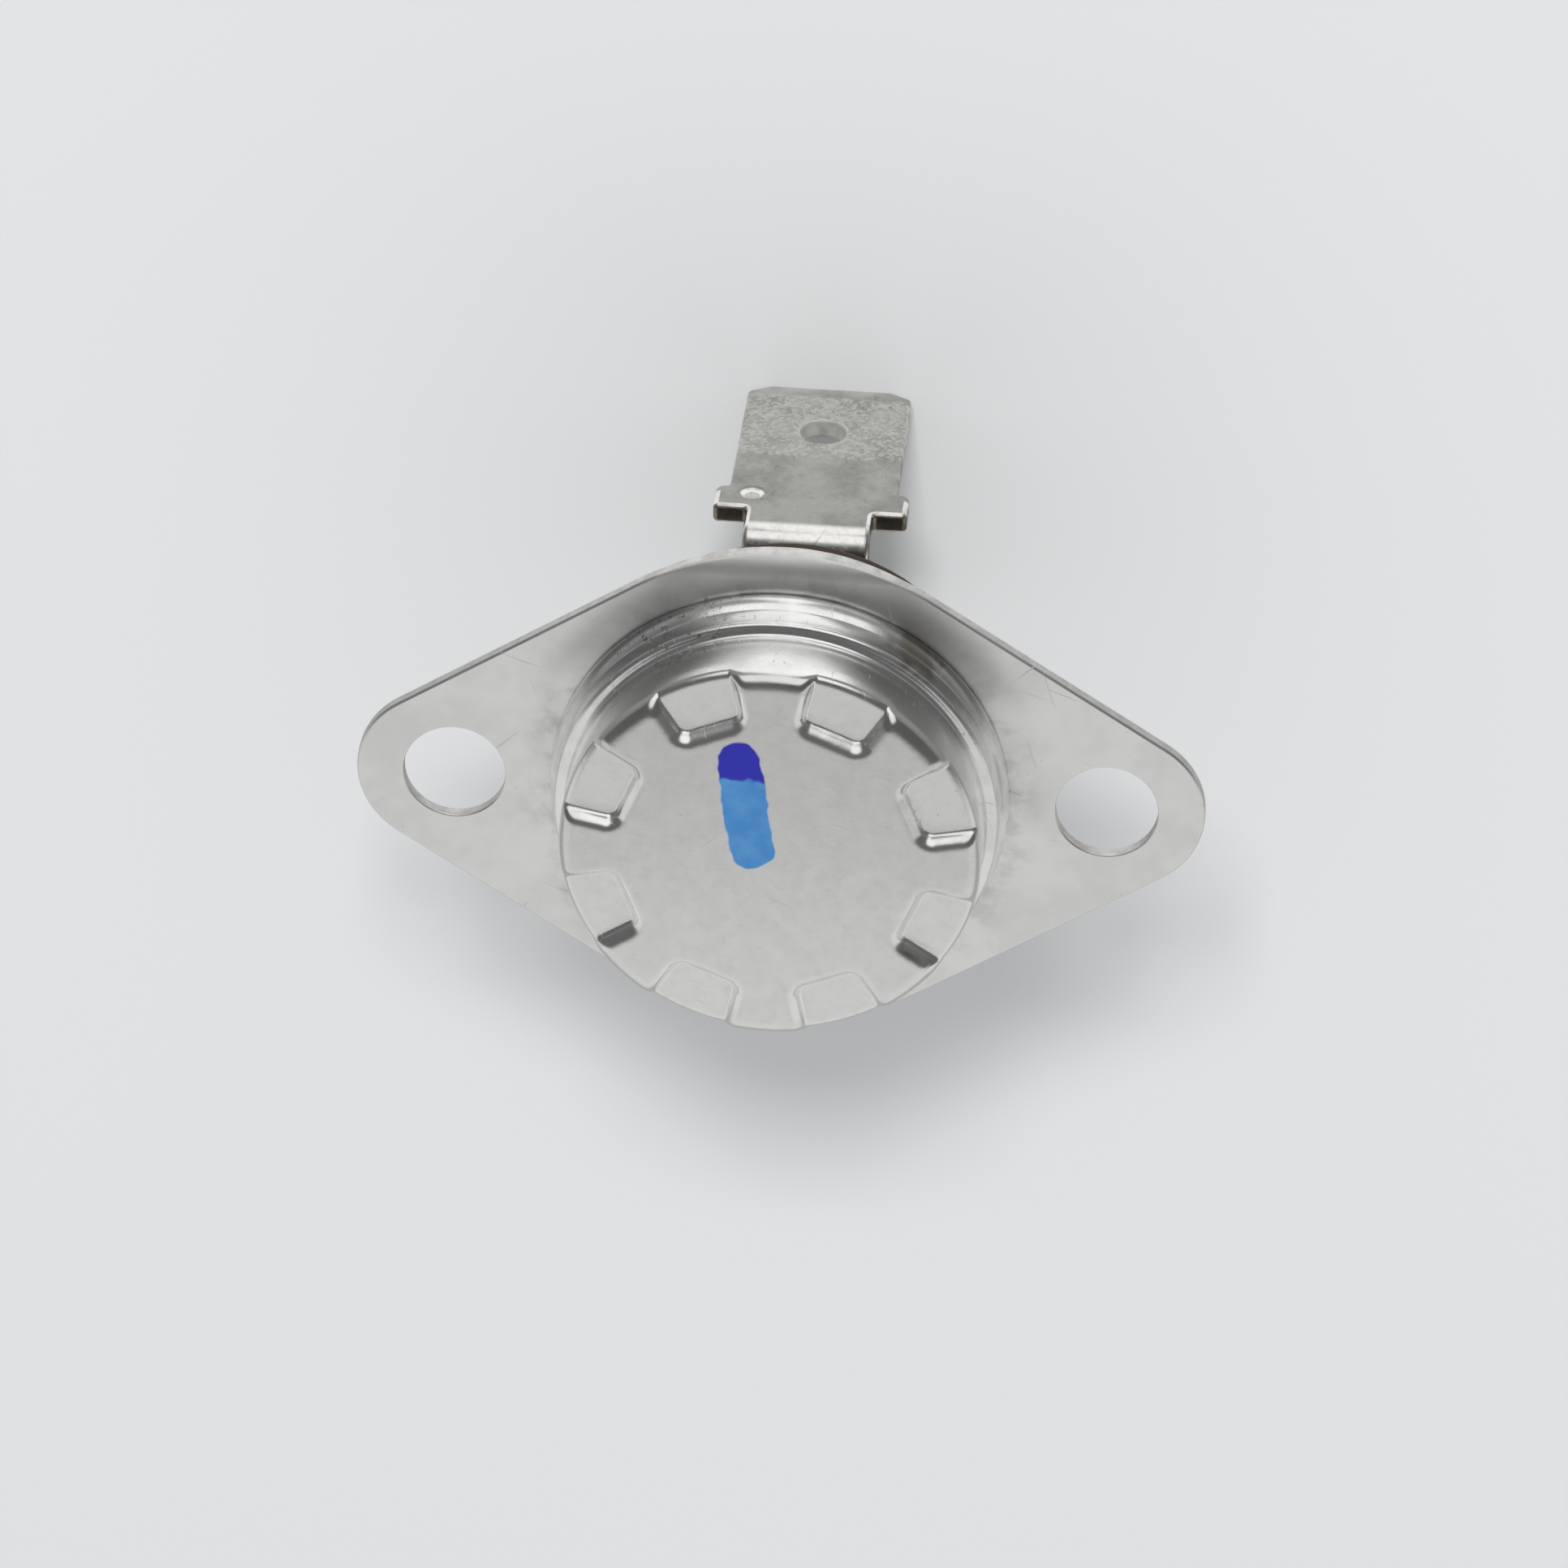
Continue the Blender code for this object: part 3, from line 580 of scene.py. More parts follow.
class Effects:
    """The surface effects that several finishes share, each one node group."""

    def __init__(self) -> None:
        """Build the groups."""
        self.scratches = self.build_scratches()
        self.peel = self.build_peel()
        self.grains = self.build_grains()
        self.spot = self.build_spot()

    def build_scratches(self) -> bpy.types.NodeTree:
        """Thin straight scuffs that run several ways, in patches."""
        graph, given, result = new_group(
            "Fine scratches", {"Place": ("Vector", None), "Density": ("Float", 0.5)}, {"Mask": "Float"})
        low = graph.math("SUBTRACT", 0.74, graph.math("MULTIPLY", given.outputs["Density"], 0.12))
        high = graph.math("ADD", low, 0.05)
        total = None
        for turn, stretch in ((0.35, 9.0), (1.25, 13.0), (2.4, 7.0)):
            turn_node = graph.add("VectorRotate", rotation_type="Z_AXIS")
            graph.feed(turn_node.inputs["Vector"], given.outputs["Place"])
            turn_node.inputs["Angle"].default_value = turn
            scale = graph.add("VectorMath", operation="MULTIPLY")
            graph.feed(scale.inputs[0], turn_node.outputs[0])
            scale.inputs[1].default_value = (0.22, stretch, 1.0)
            line = graph.noise(scale.outputs[0], 1.0, 2.0)
            mask = graph.spread(line, low, high)
            total = mask if total is None else graph.math("MAXIMUM", total, mask)
        patch = graph.spread(graph.noise(given.outputs["Place"], 0.45, 2.0), 0.42, 0.62)
        graph.feed(result.inputs["Mask"], graph.math("MULTIPLY", total, patch))
        return graph.tree

    def build_peel(self) -> bpy.types.NodeTree:
        """The faint unevenness of pressed and plated sheet."""
        graph, given, result = new_group(
            "Pressed skin", {"Place": ("Vector", None), "Size": ("Float", 1.0)}, {"Height": "Float"})
        scale = graph.add("VectorMath", operation="SCALE")
        graph.feed(scale.inputs[0], given.outputs["Place"])
        graph.feed(scale.inputs["Scale"], graph.math("DIVIDE", 1.0, given.outputs["Size"]))
        broad = graph.noise(scale.outputs[0], 0.8, 2.0)
        fine = graph.noise(scale.outputs[0], 5.0, 3.0, 0.6)
        graph.feed(result.inputs["Height"],
                   graph.math("ADD", graph.math("MULTIPLY", broad, 0.75),
                              graph.math("MULTIPLY", fine, 0.25)))
        return graph.tree

    def build_grains(self) -> bpy.types.NodeTree:
        """Crystals of a hot dipped or matt tin skin."""
        graph, given, result = new_group(
            "Tin grains", {"Place": ("Vector", None), "Grains": ("Float", 6.0)},
            {"Mask": "Float", "Height": "Float"})
        cells = graph.add("TexVoronoi", feature="F1")
        graph.feed(cells.inputs["Vector"], given.outputs["Place"])
        graph.feed(cells.inputs["Scale"], given.outputs["Grains"])
        tone = graph.parts(cells.outputs["Color"])[0]
        streak = graph.add("TexNoise")
        graph.feed(streak.inputs["Vector"], given.outputs["Place"])
        graph.feed(streak.inputs["Scale"], graph.math("MULTIPLY", given.outputs["Grains"], 0.8))
        streak.inputs["Detail"].default_value = 5.0
        streak.inputs["Roughness"].default_value = 0.75
        mixed = graph.math("ADD", graph.math("MULTIPLY", tone, 0.5),
                           graph.math("MULTIPLY", streak.outputs[0], 0.5))
        graph.feed(result.inputs["Mask"], graph.spread(mixed, 0.3, 0.72))
        graph.feed(result.inputs["Height"], mixed)
        return graph.tree

    def build_spot(self) -> bpy.types.NodeTree:
        """A ragged spot round a point."""
        graph, given, result = new_group(
            "Ragged spot", {"Place": ("Vector", None), "Centre": ("Vector", None),
                            "Radius": ("Float", 1.0), "Ragged": ("Float", 0.4)}, {"Mask": "Float"})
        gap = graph.add("VectorMath", operation="DISTANCE")
        graph.feed(gap.inputs[0], given.outputs["Place"])
        graph.feed(gap.inputs[1], given.outputs["Centre"])
        wave = graph.math("SUBTRACT", graph.noise(given.outputs["Place"], 1.6, 4.0), 0.5)
        rag = graph.math("MULTIPLY", wave, given.outputs["Ragged"])
        share = graph.math("ADD", graph.math("DIVIDE", gap.outputs["Value"], given.outputs["Radius"]),
                           graph.math("MULTIPLY", rag, 4.0))
        graph.feed(result.inputs["Mask"], graph.spread(share, 1.0, 0.45))
        return graph.tree


@dataclass
class Surface:
    """A material's skin while its layers are laid on, with its place in millimetres."""

    graph: Graph
    effects: Effects
    shader: bpy.types.Node
    place: bpy.types.NodeSocket
    colour: bpy.types.NodeSocket
    rough: bpy.types.NodeSocket
    height: bpy.types.NodeSocket

    def tint(self, share: object, colour: tuple[float, float, float]) -> None:
        """Lay a colour over the skin.

        Args:
            share: How much of the skin it covers.
            colour: The colour.
        """
        self.colour = self.graph.blend(share, self.colour, (*colour, 1.0))

    def roughen(self, share: object, amount: float, clamp: bool = False) -> None:
        """Change the skin's roughness.

        Args:
            share: Where it changes.
            amount: How much rougher it gets.
            clamp: Whether it is held between 0 and 1.
        """
        extra = self.graph.math("MULTIPLY", share, amount)
        self.rough = self.graph.math("ADD", self.rough, extra, clamp)

    def raise_by(self, share: object, amount: object) -> None:
        """Raise the skin.

        Args:
            share: Where it rises.
            amount: How much.
        """
        self.height = self.graph.math("ADD", self.height, self.graph.math("MULTIPLY", share, amount))

    def spot(self, centre: tuple[float, float, float], radius: float,
             ragged: float) -> bpy.types.NodeSocket:
        """A ragged spot.

        Args:
            centre: Its centre in millimetres.
            radius: Its radius in millimetres.
            ragged: How far its edge strays.

        Returns:
            Its cover.
        """
        return self.graph.group(self.effects.spot, Place=self.place, Centre=centre, Radius=radius,
                                Ragged=ragged).outputs["Mask"]

    def wire(self, depth: float) -> None:
        """Feed the shader the skin's colour, roughness and bump.

        Args:
            depth: The bump's depth in metres.
        """
        bump = self.graph.add("Bump")
        bump.inputs["Distance"].default_value = depth
        self.graph.feed(bump.inputs["Height"], self.height)
        self.graph.feed(self.shader.inputs["Base Color"], self.colour)
        self.graph.feed(self.shader.inputs["Roughness"], self.graph.math("MAXIMUM", self.rough, 0.04))
        self.graph.feed(self.shader.inputs["Normal"], bump.outputs[0])


@dataclass(frozen=True)
class Finish:
    """A material with even colour, roughness, scuffs and skin.

    Colours are linear. Lengths are in millimetres, apart from the bump's depth.
    """

    name: str
    colour: tuple[float, float, float]
    dull: tuple[float, float, float]
    roughness: float = 0.3
    spread: float = 0.12
    metallic: float = 1.0
    specular: float = 0.5
    density: float = 0.5
    skin_size: float = 1.0
    skin_depth: float = 0.000006

    def build(self, effects: Effects) -> bpy.types.Material:
        """Make the material.

        Args:
            effects: The shared groups.

        Returns:
            The material.
        """
        material = bpy.data.materials.new(self.name)
        material.use_nodes = True
        material.diffuse_color = (*self.colour, 1.0)
        graph = Graph(material.node_tree)
        shader = material.node_tree.nodes["Principled BSDF"]
        shader.inputs["Metallic"].default_value = self.metallic
        shader.inputs["Specular IOR Level"].default_value = self.specular
        place = graph.place_mm()
        scratch = graph.group(effects.scratches, Place=place, Density=self.density).outputs["Mask"]
        skin = graph.group(effects.peel, Place=place, Size=self.skin_size).outputs["Height"]
        tone = graph.spread(graph.noise(place, 0.6 / self.skin_size, 4.0, 0.6), 0.35, 0.68)
        colour = graph.blend(tone, (*self.colour, 1.0), (*self.dull, 1.0))
        rough = graph.math("ADD", graph.math("MULTIPLY", tone, self.spread),
                           self.roughness - self.spread / 2)
        surface = Surface(graph, effects, shader, place, colour, rough, skin)
        surface.roughen(scratch, 0.18)
        surface.raise_by(scratch, -0.35)
        self.detail(surface)
        surface.wire(self.skin_depth)
        return material

    def detail(self, surface: Surface) -> None:
        """Lay further layers over the skin. A plain finish has none.

        Args:
            surface: The skin.
        """


@dataclass(frozen=True)
class CapFinish(Finish):
    """Drawn and plated steel: a satin face painted lighter towards -Y, bright walls, stains by the bead, a
    painted brown reflection by one dent and a marker stroke.
    """

    face_roughness: float = 0.4
    face_colour: tuple[float, float, float] = (0.74, 0.735, 0.72)
    # The lighter colour that the face is painted towards -Y, a painted light.
    face_painted_light: tuple[float, float, float] = (0.9, 0.9, 0.89)
    dent_floor: tuple[float, float, float] = (0.97, 0.97, 0.96)
    # Brown of the real stains, also used for a painted brown reflection.
    brown_stain_and_reflection: tuple[float, float, float] = (0.30, 0.25, 0.15)
    dirt: tuple[float, float, float] = (0.09, 0.085, 0.08)
    ink: tuple[float, float, float] = (0.055, 0.24, 0.57)
    ink_thin: tuple[float, float, float] = (0.09, 0.3, 0.61)
    ink_pool: tuple[float, float, float] = (0.02, 0.022, 0.4)
    stroke_start: tuple[float, float] = (-1.14, 4.05)
    stroke_end: tuple[float, float] = (-0.6, 0.42)
    stroke_half_width: float = 0.82
    stroke_edge: float = 0.04

    def detail(self, surface: Surface) -> None:
        """Lay the satin face with its painted light, the stains with a painted reflection, and the marker
        stroke over the plating.

        Args:
            surface: The skin.
        """
        level = self.lay_satin(surface)
        dirt = self.lay_stains(surface)
        ink = self.lay_ink(surface)
        surface.roughen(dirt, 0.25, clamp=True)
        grain = surface.graph.math("MULTIPLY", surface.graph.noise(surface.place, 7.0, 2.0, 0.6), 0.5)
        surface.raise_by(level, grain)
        surface.raise_by(ink, 0.6)

    def lay_satin(self, surface: Surface) -> bpy.types.NodeSocket:
        """Lay the satin skin over the face, the dents' floors and the rim.

        Args:
            surface: The skin.

        Returns:
            Where the face is level.
        """
        graph, place = surface.graph, surface.place
        upright = graph.parts(graph.add("TexCoord").outputs["Normal"])[2]
        x, y, z = graph.parts(place)
        level = graph.math("MULTIPLY", graph.spread(upright, 0.86, 0.99), graph.spread(z, -1.4, -1.0))
        rim = graph.math("MULTIPLY", graph.spread(graph.reach(x, y), 6.95, 7.1),
                         graph.spread(upright, 0.15, 0.5))
        rim = graph.math("MULTIPLY", rim, graph.spread(z, -1.0, -0.7))
        # Painted light: the face is painted darker at +Y and lighter towards -Y, with a random tone mixed
        # in.
        painted_gradient = graph.math("ADD", graph.spread(y, 5.0, -6.5),
                          graph.math("SUBTRACT", graph.noise(place, 0.9, 5.0, 0.65), 0.5), clamp=True)
        satin = graph.blend(painted_gradient, (*self.face_colour, 1.0), (*self.face_painted_light, 1.0))
        sunk = graph.math("MULTIPLY", graph.spread(z, -0.3, -0.45), 0.55)
        satin = graph.blend(sunk, satin, (*self.dent_floor, 1.0))
        mottle = graph.spread(graph.noise(place, 2.2, 4.0, 0.7), 0.45, 0.7)
        satin = graph.blend(graph.math("MULTIPLY", mottle, 0.07), satin, (*self.brown_stain_and_reflection, 1.0))
        surface.colour = graph.blend(graph.math("MAXIMUM", level, rim), surface.colour, satin)
        face_rough = graph.math("ADD", graph.math("MULTIPLY", graph.noise(place, 1.3, 3.0), 0.12),
                                self.face_roughness - 0.06)
        mix = graph.add("Mix", data_type="FLOAT")
        for index, part in zip((0, 2, 3), (level, surface.rough, face_rough)):
            graph.feed(mix.inputs[index], part)
        surface.rough = mix.outputs[0]
        return level

    def lay_stains(self, surface: Surface) -> bpy.types.NodeSocket:
        """Lay the brown stains, a painted brown reflection by a lower dent, the specks by the bead and the
        dust.

        Args:
            surface: The skin.

        Returns:
            Where the dirt lies.
        """
        graph, place = surface.graph, surface.place
        upright = graph.parts(graph.add("TexCoord").outputs["Normal"])[2]
        brown_stain_and_reflection = surface.spot((5.0, 6.7, -4.1), 1.3, 0.4)
        surface.tint(graph.math("MULTIPLY", brown_stain_and_reflection, 0.6), self.brown_stain_and_reflection)
        # Painted reflection: a brown spot on the walls by the lower right dent, not a stain.
        corner = surface.spot((5.05, -4.2, -0.2), 0.75, 0.25)
        surface.tint(graph.math("MULTIPLY", corner, graph.spread(upright, 0.95, 0.8)), self.brown_stain_and_reflection)
        specks = graph.spread(graph.noise(place, 4.2, 3.0, 0.7), 0.57, 0.64)
        dirt = graph.math("MULTIPLY", surface.spot((-3.6, 7.0, -4.1), 3.0, 0.3), specks)
        dust = graph.math("MULTIPLY", graph.spread(graph.noise(place, 2.6, 2.0), 0.76, 0.79), 0.4)
        dirt = graph.math("MAXIMUM", dirt, dust)
        surface.tint(graph.math("MULTIPLY", dirt, 0.7), self.dirt)
        return dirt

    def stroke(self, graph: Graph, place: bpy.types.NodeSocket) -> tuple[object, object]:
        """The marker stroke's cover, and how far along it a place lies.

        Args:
            graph: The material's graph.
            place: The place in millimetres.

        Returns:
            The cover and the share of its length.
        """
        x, y, z = graph.parts(place)
        run = (self.stroke_end[0] - self.stroke_start[0], self.stroke_end[1] - self.stroke_start[1])
        length = run[0] ** 2 + run[1] ** 2
        dx = graph.math("SUBTRACT", x, self.stroke_start[0])
        dy = graph.math("SUBTRACT", y, self.stroke_start[1])
        along = graph.math("ADD", graph.math("MULTIPLY", dx, run[0] / length),
                           graph.math("MULTIPLY", dy, run[1] / length))
        held = graph.math("MINIMUM", graph.math("MAXIMUM", along, 0.0), 1.0)
        gap = graph.reach(graph.math("SUBTRACT", dx, graph.math("MULTIPLY", held, run[0])),
                          graph.math("SUBTRACT", dy, graph.math("MULTIPLY", held, run[1])))
        wobble = graph.math("MULTIPLY", graph.math("SUBTRACT", graph.noise(place, 0.9, 2.0), 0.5), 0.5)
        cover = graph.spread(graph.math("ADD", gap, wobble), self.stroke_half_width + self.stroke_edge,
                             self.stroke_half_width - self.stroke_edge)
        return graph.math("MULTIPLY", cover, graph.spread(z, -0.5, -0.3)), along

    def lay_ink(self, surface: Surface) -> bpy.types.NodeSocket:
        """Lay the marker stroke over the face.

        Args:
            surface: The skin.

        Returns:
            Where the ink lies.
        """
        graph, place = surface.graph, surface.place
        ink, along = self.stroke(graph, place)
        wave = graph.math("MULTIPLY", graph.math("SUBTRACT", graph.noise(place, 0.8, 2.0), 0.5), 0.5)
        pool = graph.spread(graph.math("ADD", along, wave), 0.26, 0.2)
        thin = graph.spread(graph.noise(place, 1.1, 3.0), 0.35, 0.7)
        tint = graph.blend(thin, (*self.ink, 1.0), (*self.ink_thin, 1.0))
        tint = graph.blend(pool, tint, (*self.ink_pool, 1.0))
        surface.colour = graph.blend(ink, surface.colour, tint)
        metal = graph.math("SUBTRACT", 1.0, graph.math("MULTIPLY", ink, 0.75))
        graph.feed(surface.shader.inputs["Metallic"], metal)
        return ink


@dataclass(frozen=True)
class SheetFinish(Finish):
    """Plated sheet steel, with painted shade on its flats round the cap and fine dark specks."""

    # Grey of the painted shade round the cap and of the real specks.
    shade_and_specks: tuple[float, float, float] = (0.33, 0.33, 0.33)

    def detail(self, surface: Surface) -> None:
        """Lay painted shade round the cap and specks over the plating, and dull the rolled edges.

        Args:
            surface: The skin.
        """
        graph, place = surface.graph, surface.place
        x, y, _ = graph.parts(place)
        reach = graph.reach(x, y)
        # Painted shade: the flats darken in cloudy patches towards the cap's bead.
        ring = graph.spread(reach, 10.2, 8.4)
        cloud = graph.spread(graph.noise(place, 0.9, 4.0, 0.6), 0.42, 0.66)
        shade_and_specks = graph.math("MULTIPLY", graph.math("MULTIPLY", ring, cloud), 0.3)
        surface.tint(shade_and_specks, self.shade_and_specks)
        # Painted shade: more darkening on the flats beside the cap, clear of the middle.
        shade_beside_cap = graph.math("MULTIPLY", graph.spread(reach, 10.4, 9.2), graph.spread(y, 3.5, 6.0))
        shade_beside_cap = graph.math("MULTIPLY", shade_beside_cap, graph.spread(graph.math("ABSOLUTE", x), 2.5, 5.0))
        surface.tint(graph.math("MULTIPLY", shade_beside_cap, 0.5), self.shade_and_specks)
        specks = graph.spread(graph.noise(place, 5.0, 2.0, 0.7), 0.72, 0.77)
        surface.tint(graph.math("MULTIPLY", specks, 0.5), self.shade_and_specks)
        surface.roughen(shade_and_specks, 0.12)
        surface.roughen(graph.spread(graph.math("ABSOLUTE", y), 8.3, 8.9), 0.16)


@dataclass(frozen=True)
class TinFinish(Finish):
    """Matt tin plating, grained on the blade, with painted highlights on the fold and round the dimple."""

    bright: tuple[float, float, float] = (0.5, 0.5, 0.465)
    # Colour of the painted highlights on the fold and the dimple.
    highlight_colour: tuple[float, float, float] = (0.9, 0.89, 0.86)
    grain_from: float = -20.2
    grain_to: float = -24.9
    grain_scale: float = 7.5
    fold_top: float = -14.62
    fold_foot: float = -15.38
    mark: tuple[float, float, float] = (-2.26, 5.23, -17.5)
    mark_radius: float = 0.36

    def painted_highlights(self, graph: Graph, place: bpy.types.NodeSocket) -> bpy.types.NodeSocket:
        """Where highlights are painted: on the fold, in streaks above it, and round and in the dimple.

        Args:
            graph: The material's graph.
            place: The place in millimetres.

        Returns:
            The share of painted highlight.
        """
        x, y, z = graph.parts(place)
        streaks = graph.spread(graph.noise(place, 3.6, 4.0, 0.65), 0.42, 0.6)
        above = graph.spread(z, self.fold_top - 0.12, self.fold_top + 0.05)
        bright_streaks = graph.math("MULTIPLY", above, graph.math("MULTIPLY", streaks, 0.6))
        fold = graph.math("MULTIPLY", graph.spread(z, self.fold_foot - 0.12, self.fold_foot + 0.2),
                          graph.math("SUBTRACT", 1.0, above))
        fold = graph.math("MULTIPLY", fold, graph.math("ADD", graph.math("MULTIPLY", streaks, 0.12), 0.88))
        fold = graph.math("MAXIMUM", fold, bright_streaks)
        mirrored = graph.math("MULTIPLY", x, graph.math("SIGN", y))
        gap = graph.reach(graph.math("ABSOLUTE", graph.math("SUBTRACT", mirrored, self.mark[0])),
                          graph.math("SUBTRACT", z, self.mark[2]))
        off = graph.math("ABSOLUTE", graph.math("SUBTRACT", gap, self.mark_radius))
        front = graph.spread(graph.math("ABSOLUTE", y), self.mark[1] - 0.3, self.mark[1] - 0.2)
        ring = graph.math("MULTIPLY", graph.spread(off, 0.13, 0.05), front)
        flat = graph.math("MULTIPLY", graph.spread(gap, self.mark_radius, self.mark_radius - 0.1), 0.45)
        return graph.math("MAXIMUM", fold, graph.math("MAXIMUM", ring, flat))

    def detail(self, surface: Surface) -> None:
        """Lay the grains over the blade and paint highlights on the fold and round the dimple.

        Args:
            surface: The skin.
        """
        graph, place = surface.graph, surface.place
        grains = graph.group(surface.effects.grains, Place=place, Grains=self.grain_scale)
        wave = graph.math("MULTIPLY", graph.noise(place, 0.7, 2.0), 0.5)
        level = graph.math("ADD", graph.parts(place)[2], wave)
        zone = graph.math("MULTIPLY", graph.spread(level, self.grain_from + 0.1, self.grain_from - 0.1),
                          graph.spread(level, self.grain_to - 0.15, self.grain_to + 0.15))
        share = graph.math("MULTIPLY", grains.outputs["Mask"],
                           graph.math("ADD", graph.math("MULTIPLY", zone, 0.7), 0.15))
        surface.tint(share, self.bright)
        # Painted highlights: the fold and the dimple are painted bright.
        painted_highlight = self.painted_highlights(graph, place)
        surface.tint(painted_highlight, self.highlight_colour)
        surface.roughen(share, -0.08)
        surface.roughen(painted_highlight, -0.2)
        surface.raise_by(grains.outputs["Height"], graph.math("ADD", zone, 0.25))


@dataclass(frozen=True)
class Finishes:
    """Every finish of the part."""

    cap: Finish = CapFinish("cap_plating", (0.95, 0.95, 0.94), (0.84, 0.84, 0.83), 0.21, 0.08,
                            density=0.35, skin_size=1.2, skin_depth=0.000012)
    sheet: Finish = SheetFinish("bracket_plating", (0.9, 0.9, 0.89), (0.85, 0.85, 0.84), 0.36,
                                0.06, density=0.3, skin_size=1.6, skin_depth=0.00001)
    sheared: Finish = Finish("sheared_edge", (0.7, 0.69, 0.67), (0.56, 0.55, 0.53), 0.5, 0.12,
                             metallic=0.5, density=1.2, skin_size=0.35, skin_depth=0.00002)
    tin: Finish = TinFinish("tinned_brass", (0.375, 0.375, 0.36), (0.3, 0.3, 0.285), 0.42, 0.1,
                            density=0.5, skin_size=0.7, skin_depth=0.000012)
    # Painted highlight: a bright copy of the tin for the rounded edges of the ears, the neck and the fold.
    rubbed_tin: Finish = Finish("rubbed_tin", (0.82, 0.81, 0.78), (0.5, 0.49, 0.46), 0.26, 0.12,
                                density=0.6, skin_size=0.4, skin_depth=0.000012)
    # Painted light: a light grey for the locking hole's walls, lighter than the tin round them.
    pierced: Finish = Finish("pierced_tin", (0.62, 0.62, 0.585), (0.52, 0.52, 0.49), 0.55, 0.06,
                             metallic=0.6, density=0.2, skin_size=0.4)
    cut_brass: Finish = Finish("sheared_brass", (0.36, 0.33, 0.27), (0.17, 0.15, 0.12), 0.4, 0.16,
                               density=1.0, skin_size=0.35, skin_depth=0.00002)
    phenolic: Finish = Finish("moulded_phenolic", (0.035, 0.02, 0.014), (0.055, 0.036, 0.027), 0.55,
                              0.15, metallic=0.0, specular=0.15, density=0.3, skin_size=0.5,
                              skin_depth=0.00001)
    bimetal: Finish = Finish("rolled_bimetal", (0.56, 0.54, 0.5), (0.45, 0.43, 0.39), 0.34, 0.12,
                             density=0.9, skin_size=0.8)
    brass: Finish = Finish("bare_brass", (0.72, 0.54, 0.26), (0.55, 0.39, 0.18), 0.33, 0.16,
                           density=0.7, skin_size=0.6)
    copper: Finish = Finish("spring_copper", (0.75, 0.45, 0.3), (0.6, 0.34, 0.22), 0.3, 0.12,
                            density=0.8, skin_size=0.6)
    silver: Finish = Finish("contact_silver", (0.86, 0.85, 0.82), (0.68, 0.67, 0.63), 0.25, 0.14,
                            density=0.4, skin_size=0.4)
    steatite: Finish = Finish("pressed_steatite", (0.82, 0.79, 0.72), (0.74, 0.71, 0.63), 0.6, 0.1,
                              metallic=0.0, density=0.1, skin_size=0.25, skin_depth=0.000008)


class Workshop:
    """Builds each finish once and hands finished pieces to the frame."""

    def __init__(self) -> None:
        """Build the shared effects."""
        self.effects = Effects()
        self.made: dict[str, bpy.types.Material] = {}

    def material(self, finish: Finish) -> bpy.types.Material:
        """The material of a finish, built on its first use.

        Args:
            finish: The finish.

        Returns:
            Its material.
        """
        if finish.name not in self.made:
            self.made[finish.name] = finish.build(self.effects)
        return self.made[finish.name]

    def dress(self, item: bpy.types.Object, finish: Finish) -> None:
        """Give all of a piece one finish.

        Args:
            item: The piece.
            finish: Its finish.
        """
        if item.material_slots:
            for place in item.material_slots:
                place.material = self.material(finish)
        else:
            item.data.materials.append(self.material(finish))

    def dress_sides(self, item: bpy.types.Object, finish: Finish, steepest: float,
                    spared: tuple[tuple[float, float, float], ...] = ()) -> None:
        """Give the faces that stand square to a plate's front a finish of their own.

        Args:
            item: The piece.
            finish: The finish of its sheared sides.
            steepest: The largest upright part of a side's normal.
            spared: Holes to leave as they are, each as X, Y and radius.
        """
        item.data.materials.append(self.material(finish))
        for face in item.data.polygons:
            middle = face.center
            inside = any(math.hypot(middle.x - x, middle.y - y) < r for x, y, r in spared)
            if abs(face.normal.z) < steepest and not inside:
                face.material_index = len(item.data.materials) - 1

    def hand_over(self, item: bpy.types.Object, node: str, slot: str) -> None:
        """Let a finished piece stand for a node and ride on the housing.

        Args:
            item: The finished piece.
            node: The node it stands for.
            slot: The record's material slot; not used.
        """
        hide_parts(node)
        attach(item, HOUSING)
        LOG.info("%s stands for %s: %d faces", item.name, node, len(item.data.polygons))


# Pieces


